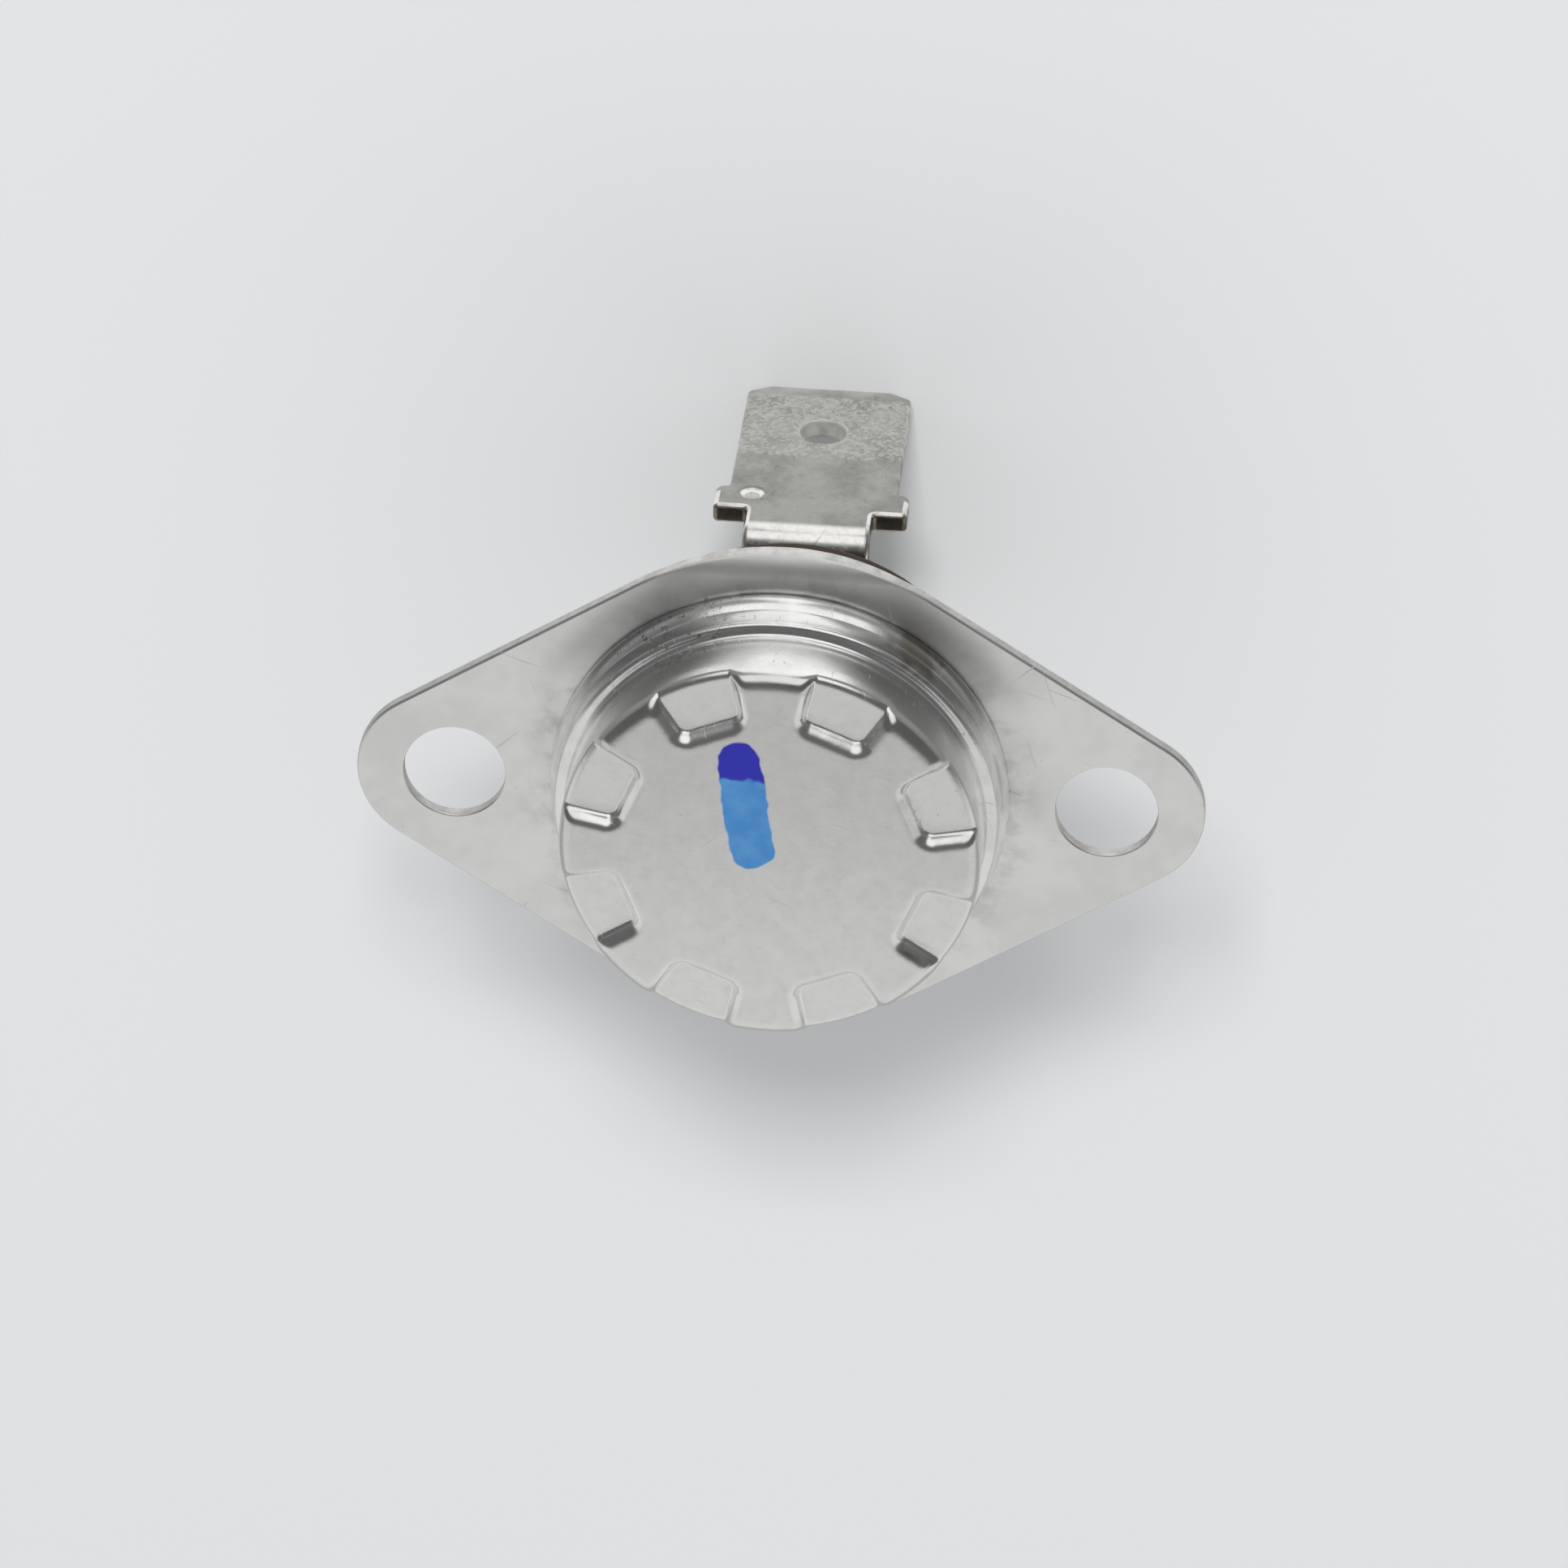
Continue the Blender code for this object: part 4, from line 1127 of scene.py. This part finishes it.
@dataclass
class SensingCap:
    """The drawn cap: a stepped cup with a bead, a crimped skirt and eight dents in its face."""

    shop: Workshop
    wall: float = 0.0004
    nose_radius: float = 0.00768
    edge_radius: float = 0.00065
    floor_edge_radius: float = 0.0003
    base_radius: float = 0.00814
    ledge_depth: float = 0.003
    bead_radius: float = 0.00845
    bead_depth: float = 0.0039
    bracket_depth: float = 0.00475
    bracket_thickness: float = 0.0005
    skirt_radius: float = 0.00795
    rear_bead_radius: float = 0.00835
    crimp_depth: float = 0.0073
    crimp_bore: float = 0.00723
    seat: float = 0.00005
    dent_count: int = 8
    dent_depth: float = 0.0005
    dent_inner: float = 0.00575
    dent_half_angle: float = math.radians(10.5)
    dent_flare: float = 0.0006
    dent_corner: float = 0.0002
    facets: int = 640
    ring_pitch: float = 0.00006

    def profile(self) -> list[tuple[float, float]]:
        """The cap's section, down its outside from the face's centre and back up its inside."""
        edge = self.edge_radius
        flat_rings = np.arange(self.nose_radius - edge, 0.0048, -self.ring_pitch)[::-1]
        face = [(0.0, 0.0), (0.0016, 0.0), (0.0032, 0.0)] + [(r, 0.0) for r in flat_rings[:-1]]
        rim = arc((self.nose_radius - edge, -edge), edge, 90, 0, 18)
        wall_rows = np.linspace(-edge, -self.ledge_depth + 0.0002, 12)[1:-1]
        wall = [(self.nose_radius, z) for z in wall_rows]
        root = arc((self.nose_radius + 0.0002, -self.ledge_depth + 0.0002), 0.0002, 180, 270, 5)
        ledge = arc((self.base_radius - 0.0002, -self.ledge_depth - 0.0002), 0.0002, 90, 0, 6)
        bead = []
        foot = self.bracket_depth - self.seat
        for share in np.linspace(0.0, 1.0, 9):
            bead.append((self.base_radius + (self.bead_radius - self.base_radius)
                         * math.sin(share * math.pi / 2),
                         -self.bead_depth - (foot - 0.00012 - self.bead_depth) * share))
        bead += arc((self.bead_radius - 0.00012, -foot + 0.00012), 0.00012, 0, -80, 4)
        back = self.bracket_depth + self.bracket_thickness + self.seat
        skirt = [(self.skirt_radius, -foot), (self.skirt_radius, -back)]
        rear = self.rear_bead_radius - self.skirt_radius
        for share in np.linspace(0.0, 1.0, 9):
            skirt.append((self.skirt_radius + rear * math.sin(share * math.pi) ** 0.6,
                          -back - 0.00002 - 0.00058 * share))
        crimp = arc((self.skirt_radius - self.wall, -self.crimp_depth), self.wall, 0, -90, 7)
        lip = [(self.crimp_bore, -self.crimp_depth - self.wall), (self.crimp_bore, -self.crimp_depth)]
        bore = self.skirt_radius - self.wall
        inside = [(bore, -self.crimp_depth), (bore, -self.bracket_depth - 0.00028),
                  (self.base_radius - self.wall, -self.bracket_depth + 0.00028),
                  (self.base_radius - self.wall, -self.ledge_depth - self.wall),
                  (self.nose_radius - self.wall, -self.ledge_depth - self.wall)]
        inner = self.nose_radius - self.wall
        inside += [(inner, z) for z in np.linspace(-0.0028, -self.wall - 0.0001, 8)]
        inside += [(r, -self.wall) for r in np.linspace(inner - 0.0001, 0.0048, 20)]
        return (face + rim + wall + root + ledge + bead + skirt + crimp + lip + inside
                + [(0.0024, -self.wall), (0.0, -self.wall)])

    def dent_cover(self, rows: np.ndarray) -> np.ndarray:
        """How far each place is pressed in by a dent, from 0 to 1.

        Args:
            rows: Places, one row for each point.

        Returns:
            One share for each place.
        """
        pitch = 2 * math.pi / self.dent_count
        angle = np.arctan2(rows[:, 1], rows[:, 0])
        local = (angle % pitch) - pitch / 2
        radius = np.hypot(rows[:, 0], rows[:, 1])
        out = radius * np.cos(local)
        aside = radius * np.abs(np.sin(local))
        short = self.dent_inner - out + self.dent_corner
        wide = ((aside - out * math.tan(self.dent_half_angle)) * math.cos(self.dent_half_angle)
                + self.dent_corner)
        reach = np.hypot(np.maximum(short, 0.0), np.maximum(wide, 0.0)) - self.dent_corner
        reach = np.maximum(reach, np.maximum(short, wide) - self.dent_corner)
        share = np.clip(reach / self.dent_flare, 0.0, 1.0)
        risen = 1.0 - (1.0 - share) ** 2.3
        foot = ease(share / 0.16)
        return 1.0 - risen * foot

    def press_dents(self, item: bpy.types.Object) -> None:
        """Press the dents into the face, its rim and the top of its wall.

        Args:
            item: The turned cap.
        """
        rows = places(item)
        radius = np.hypot(rows[:, 0], rows[:, 1])
        start = self.nose_radius - self.floor_edge_radius
        past = np.clip(radius - start, 0.0, self.floor_edge_radius)
        fall = self.floor_edge_radius - np.sqrt(self.floor_edge_radius ** 2 - past ** 2)
        outside = rows[:, 2] > -self.edge_radius - WELD
        outside &= (radius > self.nose_radius - self.wall / 2) | (rows[:, 2] > -self.wall / 2)
        floor = np.minimum(-self.dent_depth - fall, rows[:, 2])
        under = rows[:, 2] - self.dent_depth * ease((rows[:, 2] + 0.0021) / 0.0014)
        target = np.where(outside, floor, under)
        inside = radius < self.nose_radius + 0.00001
        drop = (rows[:, 2] - target) * self.dent_cover(rows)
        rows[:, 2] -= np.where(inside, drop, 0.0)
        move_points(item, rows)

    def build(self) -> None:
        """Turn, dent and dress the cap."""
        cap = turned("cap_shell", self.profile(), self.facets)
        self.press_dents(cap)
        self.shop.dress(cap, Finishes.cap)
        self.shop.hand_over(cap, "sensing_cap", "cap_plating")


@dataclass
class MountingBracket:
    """The stamped rhombus that the cap's beads clamp."""

    shop: Workshop
    front: float = -0.00475
    thickness: float = 0.0005
    middle_radius: float = 0.0098
    ear_offset: float = 0.0123
    ear_radius: float = 0.0033
    screw_offset: float = 0.012
    screw_radius: float = 0.00188
    bore_radius: float = 0.00805
    roll_radius: float = 0.0012
    roll_turn: float = math.radians(54.3)
    roll_rows: int = 24
    edge_round: float = 0.00011
    sharper: float = 0.6

    @property
    def roll_width(self) -> float:
        """How much of the finished width the roll takes up."""
        return self.roll_radius * math.sin(self.roll_turn)

    def outline(self) -> list[tuple[float, float]]:
        """The flat rhombus, two ears joined to a round middle by straight edges."""
        middle = self.middle_radius - self.roll_width + self.roll_radius * self.roll_turn
        lean = math.degrees(math.acos((middle - self.ear_radius) / self.ear_offset))
        points = []
        for turn, side in ((0, 1), (180, -1)):
            points += arc((side * self.ear_offset, 0.0), self.ear_radius, turn - lean, turn + lean, 36)
            points += arc((0.0, 0.0), middle, turn + lean, turn + 180 - lean, 56)
        return points

    def ease_front(self, item: bpy.types.Object) -> None:
        """Round the outline's front edge as blanking does, and the other edges less.

        Args:
            item: The flat bracket.
        """
        edges = {key for face in item.data.polygons if abs(face.normal.z) < 0.5
                 for key in face.edge_keys}
        weight = item.data.attributes.new("bevel_weight_edge", "FLOAT", "EDGE")
        for edge in item.data.edges:
            first, last = (item.data.vertices[index].co for index in edge.vertices)
            if edge.key not in edges or abs(first.z - last.z) > WELD:
                continue
            pierced = math.hypot(first.x, first.y) < self.bore_radius + WELD
            pierced |= math.hypot(abs(first.x) - self.screw_offset, first.y) < self.screw_radius + WELD
            soft = first.z > self.front - WELD and not pierced
            weight.data[edge.index].value = 1.0 if soft else self.sharper
        apply(item, "BEVEL", width=self.edge_round, segments=5, limit_method="WEIGHT",
              use_clamp_overlap=False)

    def roll_back(self, item: bpy.types.Object) -> None:
        """Roll the long edges back beside the cap.

        Args:
            item: The flat bracket.
        """
        start = self.middle_radius - self.roll_width
        length = self.roll_radius * self.roll_turn
        steps = [start + length * row / self.roll_rows for row in range(self.roll_rows)]
        score(item, steps + [-step for step in steps], Axis.Y)
        score(item, [MM * step for step in range(-8, 9)], Axis.X)
        rows = places(item)
        turn = np.maximum(np.abs(rows[:, 1]) - start, 0.0) / self.roll_radius
        reach = np.minimum(np.abs(rows[:, 1]), start) + self.roll_radius * np.sin(turn)
        rows[:, 1] = np.sign(rows[:, 1]) * reach
        rows[:, 2] -= self.roll_radius * (1.0 - np.cos(turn))
        move_points(item, rows)

    def build(self) -> None:
        """Stamp, pierce, ease, roll and dress the bracket."""
        back = self.front - self.thickness
        bracket = plate("bracket_plate", self.outline(), back, self.front)
        score(bracket, [0.0], Axis.Y)
        past = self.thickness
        for side in (1, -1):
            drill(bracket, (side * self.screw_offset, 0.0), self.screw_radius, back - past,
                  self.front + past, 64)
        drill(bracket, (0.0, 0.0), self.bore_radius, back - past, self.front + past, 128)
        close_up(bracket)
        self.ease_front(bracket)
        self.roll_back(bracket)
        shade(bracket)
        self.shop.dress(bracket, Finishes.sheet)
        self.shop.dress_sides(bracket, Finishes.sheared, 0.45)
        self.shop.hand_over(bracket, "mounting_bracket", "bracket_plating")


@dataclass
class TabTerminal:
    """A stamped and folded tab with ears, a locking hole and a dimple."""

    shop: Workshop
    side: Side
    front: float = -0.0144
    thickness: float = 0.0008
    offset: float = 0.00523
    inner_end: float = 0.0008
    end_corner: float = 0.001
    fold_radius: float = 0.00025
    neck_width: float = 0.00476
    ear_width: float = 0.0073
    ear_depth: float = 0.00205
    ear_height: float = 0.0016
    blade_width: float = 0.0063
    blade_length: float = 0.0082
    chamfer: float = 0.0008
    tip_thinning: float = 0.5
    hole_radius: float = 0.00085
    hole_from_tip: float = 0.0037
    rivet_offset: float = 0.0025
    rivet_hole: float = 0.00085
    dimple_side: float = 0.00226
    dimple_from_ear: float = 0.0005
    fold_rows: int = 20
    edge_round: float = 0.00019

    @property
    def fold_start(self) -> float:
        """Where the fold starts along the flat blank."""
        return self.offset - self.fold_radius - self.thickness - self.inner_end

    @property
    def fold_length(self) -> float:
        """How long the fold is along the blank's middle."""
        return (self.fold_radius + self.thickness / 2) * math.pi / 2

    @property
    def ear_start(self) -> float:
        """Where the ears start along the flat blank."""
        return (self.fold_start + self.fold_length + self.ear_depth - self.fold_radius
                - self.thickness)

    @property
    def tip(self) -> float:
        """Where the blank ends."""
        return self.ear_start + self.ear_height + self.blade_length

    def blank(self) -> list[tuple[float, float]]:
        """The flat outline, with small rounds at its corners."""
        neck = self.neck_width / 2
        blade = self.blade_width / 2
        ear = self.ear_width / 2
        top = self.ear_start + self.ear_height
        half = [(neck, 0.0, self.end_corner), (neck, self.ear_start, 0.00018),
                (ear, self.ear_start, 0.0002), (ear, top, 0.0003), (blade, top, 0.00018),
                (blade, self.tip - self.chamfer, 0.0002), (blade - self.chamfer, self.tip, 0.0002)]
        mirrored = [(-x, y, radius) for x, y, radius in reversed(half)]
        return rounded(half + mirrored, 5)

    def thin_tip(self, rows: np.ndarray) -> np.ndarray:
        """Bevel both faces towards the blade's tip.

        Args:
            rows: The blank's points, with its middle at height zero.

        Returns:
            The moved points.
        """
        past = np.clip((rows[:, 1] - self.tip + self.chamfer) / self.chamfer, 0.0, 1.0)
        rows[:, 2] *= 1.0 - self.tip_thinning * past
        return rows

    def fold(self, rows: np.ndarray) -> np.ndarray:
        """Fold the blank back, square to itself.

        Args:
            rows: The blank's points, with its middle at height zero.

        Returns:
            The moved points.
        """
        radius = self.fold_radius + self.thickness / 2
        turn = np.clip((rows[:, 1] - self.fold_start) / radius, 0.0, math.pi / 2)
        start = np.minimum(rows[:, 1], self.fold_start)
        past = np.maximum(rows[:, 1] - self.fold_start - self.fold_length, 0.0)
        reach = radius + rows[:, 2]
        y = np.where(turn > 0.0, self.fold_start + reach * np.sin(turn), start)
        z = np.where(turn > 0.0, -radius + reach * np.cos(turn), rows[:, 2])
        return np.column_stack((rows[:, 0], y, z - past))

    def press_dimple(self, tab: bpy.types.Object) -> None:
        """Press the small dimple beside the ear.

        Args:
            tab: The flat blank, front up.
        """
        face = self.thickness / 2
        bowl = [(0.0, face - 0.00014), (0.0002, face - 0.00014), (0.0003, face - 0.00011),
                (0.00037, face - 0.00007), (0.00048, face - 0.00001), (0.00053, face + 0.00002),
                (0.00053, face + 0.0003), (0.0, face + 0.0003)]
        tool = turned("dimple_punch", bowl, 40)
        tool.location = (-self.dimple_side, self.ear_start + self.ear_height - self.dimple_from_ear, 0.0)
        settle(tool)
        cut(tab, tool)

    def build(self) -> None:
        """Blank, pierce, ease, fold and dress the tab."""
        half = self.thickness / 2
        tab = plate("tab_" + self.side.label, self.blank(), -half, half)
        rivet = self.rivet_offset - self.inner_end
        lock = self.tip - self.hole_from_tip
        score(tab, [rivet, self.ear_start + self.ear_height - self.dimple_from_ear, lock], Axis.Y)
        drill(tab, (0.0, lock), self.hole_radius, -2 * half, 2 * half, 48)
        drill(tab, (0.0, rivet), self.rivet_hole, -2 * half, 2 * half, 32)
        self.press_dimple(tab)
        ease_edges(tab, self.edge_round, 4, 50.0, clamp=False)
        self.shop.dress(tab, Finishes.tin)
        hole = (0.0, lock, self.hole_radius + 2 * self.edge_round)
        mark = (-self.dimple_side, self.ear_start + self.ear_height - self.dimple_from_ear, 0.0006)
        blade = (0.0, self.tip, self.tip - self.ear_start - self.edge_round)
        # The locking hole's walls keep the light grey, a painted light.
        self.shop.dress_sides(tab, Finishes.pierced, 0.9, (mark,))
        self.shop.dress_sides(tab, Finishes.tin, 0.9, (hole,))
        # Painted highlight along the rounded edges, clear of the blade and the dimple.
        self.shop.dress_sides(tab, Finishes.rubbed_tin, 0.985, (mark, blade))
        self.shop.dress_sides(tab, Finishes.cut_brass, 0.3, (mark, hole))
        rows = [self.fold_start + self.fold_length * row / self.fold_rows
                for row in range(self.fold_rows + 1)]
        score(tab, rows + [self.tip - self.chamfer], Axis.Y)
        move_points(tab, self.fold(self.thin_tip(places(tab))))
        tab.location = (0.0, self.inner_end, self.front - half)
        settle(tab)
        tab.rotation_euler.z = self.side.value
        settle(tab)
        close_up(tab)
        shade(tab, 30.0)
        self.shop.hand_over(tab, "terminal_" + self.side.label, "tinned_tab")


@dataclass
class SwitchMoulding:
    """The dark moulded body with its terminal block and barrier rib."""

    shop: Workshop
    edge_round: float = 0.00012

    def build(self) -> None:
        """Ease the moulding's edges and dress it."""
        body = node_copy("body_moulding", "switch_body")
        ease_edges(body, self.edge_round, 3, 40.0)
        shade(body, 35.0)
        self.shop.dress(body, Finishes.phenolic)
        self.shop.hand_over(body, "switch_body", "phenolic")


@dataclass
class TerminalRivet:
    """A rivet with a domed head on the tab and a flat one on the strip inside."""

    shop: Workshop
    side: Side
    offset: float = 0.0025
    shank_radius: float = 0.0008
    head_radius: float = 0.0015
    head_height: float = 0.00055
    inner_radius: float = 0.00115
    inner_height: float = 0.0004
    facets: int = 56

    def build(self) -> None:
        """Turn and dress the rivet between its two heads' outer faces."""
        node = "terminal_rivet_" + self.side.label
        low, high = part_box(node)
        seat = low.z + self.head_height
        front = high.z - self.inner_height
        dome = [(0.0, low.z)]
        for angle in np.linspace(10, 80, 8):
            turn = math.radians(angle)
            dome.append((self.head_radius * math.sin(turn), seat - self.head_height * math.cos(turn)))
        rim = [(self.head_radius, seat - 0.00008), (self.head_radius, seat - 0.00003),
               (self.head_radius - 0.00004, seat)]
        shank = [(self.shank_radius, seat), (self.shank_radius, front)]
        head = arc((self.inner_radius - 0.00015, front + 0.00015), 0.00015, -90, 0, 4)
        head += arc((self.inner_radius - 0.0002, high.z - 0.0002), 0.0002, 0, 90, 5)
        rivet = turned("rivet_" + self.side.label, dome + rim + shank + head + [(0.0, high.z)],
                       self.facets)
        way = 1.0 if self.side is Side.UPPER else -1.0
        rivet.location.y = way * self.offset
        settle(rivet)
        shade(rivet, 35.0)
        self.shop.dress(rivet, Finishes.brass)
        self.shop.hand_over(rivet, node, "brass")


@dataclass
class InnerWorks:
    """The pieces inside, which keep their solids."""

    shop: Workshop
    finishes: dict[str, Finish] = field(default_factory=lambda: {
        "bimetal_disc": Finishes.bimetal,
        "guide_plate": Finishes.phenolic,
        "striker_pin": Finishes.steatite,
        "contact_arm": Finishes.copper,
        "moving_contact": Finishes.silver,
        "fixed_contact": Finishes.silver,
        "fixed_contact_strip": Finishes.brass,
        "arm_support": Finishes.brass})

    def build(self, nodes: dict[str, bpy.types.Object]) -> None:
        """Dress each inner piece.

        Args:
            nodes: The frame's nodes by name.
        """
        for node, finish in self.finishes.items():
            self.shop.dress(nodes[node], finish)
            LOG.info("%s dressed in %s", node, finish.name)


# Studio


@dataclass
class Studio:
    """Camera, floor, soft light and surroundings."""

    scale_px_per_mm: float = 33.63
    frame_px: float = 1932.0
    distance: float = 0.3
    roll: float = 0.0214
    tilt: float = 0.5548
    yaw: float = 0.0656
    origin_px: tuple[float, float] = (960.58, 975.44)
    bracket_plane: float = -0.00475
    floor_height: float = -0.02625
    floor_size: float = 1.6
    pale: float = 0.8
    table: float = 0.68
    fill: float = 0.58
    dim: float = 0.12
    near: float = 0.42
    dusk: float = 0.25
    sheet_middle: float = -0.002
    sheet_half: float = 0.017
    overhead: tuple[float, float, float] = (0.0, 0.976, 0.218)

    @property
    def toward(self) -> Vector:
        """The direction from the part to the camera."""
        return Vector((math.sin(self.yaw), math.sin(self.tilt), math.cos(self.tilt))).normalized()

    def axes(self) -> tuple[Vector, Vector]:
        """The picture's right and up directions."""
        right = Vector((0.0, 1.0, 0.0)).cross(self.toward).normalized()
        up = self.toward.cross(right)
        c, s = math.cos(self.roll), math.sin(self.roll)
        return right * c + up * s, up * c - right * s

    def add_camera(self) -> None:
        """Put the camera where the photograph was taken from."""
        right, up = self.axes()
        middle = self.frame_px / 2
        aim = (right * (middle - self.origin_px[0]) + up * (self.origin_px[1] - middle))
        aim = aim / self.scale_px_per_mm * MM + Vector((0.0, 0.0, self.bracket_plane))
        data = bpy.data.cameras.new("camera")
        data.sensor_width = 36.0
        data.lens = 36.0 * self.distance / (self.frame_px / self.scale_px_per_mm * MM)
        data.clip_start = 0.01
        data.clip_end = 10.0
        camera = bpy.data.objects.new("camera", data)
        turn = Matrix((right, up, self.toward)).transposed().to_4x4()
        camera.matrix_world = Matrix.Translation(aim + self.toward * self.distance) @ turn
        bpy.context.scene.collection.objects.link(camera)
        bpy.context.scene.camera = camera

    def add_floor(self) -> None:
        """Lay a pale floor under the tabs' tips, seen as white in the metal."""
        bpy.ops.object.select_all(action="DESELECT")
        bpy.ops.mesh.primitive_plane_add(size=self.floor_size, location=(0, 0, self.floor_height))
        floor = bpy.context.active_object
        floor.name = "floor"
        material = bpy.data.materials.new("pale_floor")
        material.use_nodes = True
        graph = Graph(material.node_tree)
        shader = material.node_tree.nodes["Principled BSDF"]
        shader.inputs["Base Color"].default_value = (0.79, 0.8, 0.805, 1.0)
        shader.inputs["Roughness"].default_value = 0.9
        shader.inputs["Specular IOR Level"].default_value = 0.0
        # Painted reflection: for glossy rays the floor glows, in a white strip on the +Y side and a band
        # towards -Y, over a dim glow.
        x, y, _ = graph.parts(graph.add("TexCoord").outputs["Object"])
        aside = graph.math("ABSOLUTE", graph.math("SUBTRACT", x, self.sheet_middle))
        lit = graph.spread(aside, self.sheet_half + 0.006, self.sheet_half - 0.006)
        lit = graph.math("MULTIPLY", lit, graph.spread(y, -0.006, 0.004))
        lit = graph.math("MAXIMUM", lit, graph.math("MULTIPLY", graph.spread(y, 0.004, -0.008), self.near))
        lit = graph.math("MAXIMUM", lit, self.dusk)
        white = graph.add("Emission")
        graph.feed(white.inputs["Strength"], lit)
        white.inputs["Color"].default_value = WHITE
        mix = graph.add("MixShader")
        glossy = graph.add("LightPath").outputs["Is Glossy Ray"]
        for index, part in enumerate((glossy, shader.outputs[0], white.outputs[0])):
            graph.feed(mix.inputs[index], part)
        graph.feed(material.node_tree.nodes["Material Output"].inputs["Surface"], mix.outputs[0])
        floor.data.materials.append(material)

    def add_lamp(self, name: str, elevation: float, azimuth: float, size: tuple[float, float],
                 energy: float, distance: float = 1.0) -> None:
        """Hang one soft lamp that points at the part.

        Args:
            name: The lamp's name.
            elevation: Its height over the horizon, in degrees.
            azimuth: Its bearing from +X, in degrees.
            size: Its width and height.
            energy: Its power in watts.
            distance: Its distance from the part.
        """
        up, round_ = math.radians(elevation), math.radians(azimuth)
        way = Vector((math.cos(up) * math.cos(round_), math.cos(up) * math.sin(round_), math.sin(up)))
        data = bpy.data.lights.new(name, "AREA")
        data.shape = "RECTANGLE"
        data.size, data.size_y = size
        data.energy = energy
        lamp = bpy.data.objects.new(name, data)
        lamp.visible_glossy = False
        turn = way.to_track_quat("Z", "Y").to_matrix().to_4x4()
        lamp.matrix_world = Matrix.Translation(way * distance) @ turn
        bpy.context.scene.collection.objects.link(lamp)

    def add_world(self) -> None:
        """Surround the part with a pale room that is dark where the camera stands."""
        world = bpy.data.worlds.new("room")
        bpy.context.scene.world = world
        world.use_nodes = True
        graph = Graph(world.node_tree)
        room = world.node_tree.nodes["Background"]
        way = graph.add("VectorMath", operation="DOT_PRODUCT")
        graph.feed(way.inputs[0], graph.add("TexCoord").outputs["Generated"])
        way.inputs[1].default_value = Vector(self.overhead).normalized()
        rise = way.outputs["Value"]
        tone = graph.blend(graph.spread(rise, -0.1, 0.16), (*[self.table] * 3, 1.0),
                           (*[self.dim] * 3, 1.0))
        tone = graph.blend(graph.spread(rise, 0.77, 0.9), tone, WHITE)
        graph.feed(room.inputs["Color"], tone)
        path = graph.add("LightPath")
        surface = room.outputs[0]
        for ray, tone in (("Is Diffuse Ray", self.fill), ("Is Camera Ray", self.pale)):
            plain = graph.add("Background")
            plain.inputs["Color"].default_value = (tone, tone * 1.005, tone * 1.015, 1.0)
            mix = graph.add("MixShader")
            for index, part in enumerate((path.outputs[ray], surface, plain.outputs[0])):
                graph.feed(mix.inputs[index], part)
            surface = mix.outputs[0]
        graph.feed(world.node_tree.nodes["World Output"].inputs["Surface"], surface)

    def build(self) -> None:
        """Set up the whole studio."""
        bpy.context.scene.view_settings.view_transform = "Standard"
        self.add_camera()
        self.add_floor()
        self.add_world()
        self.add_lamp("key", 49.0, 89.0, (0.2, 0.16), 5.2)
        LOG.info("studio ready")


def main() -> None:
    """Load the frame, build every piece and light the scene."""
    logging.basicConfig(level=logging.INFO, format="%(name)s: %(message)s")
    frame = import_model()
    shop = Workshop()
    SensingCap(shop).build()
    MountingBracket(shop).build()
    for side in Side:
        TabTerminal(shop, side).build()
        TerminalRivet(shop, side).build()
    SwitchMoulding(shop).build()
    InnerWorks(shop).build(frame["nodes"])
    Studio().build()


if __name__ == "__main__":
    main()
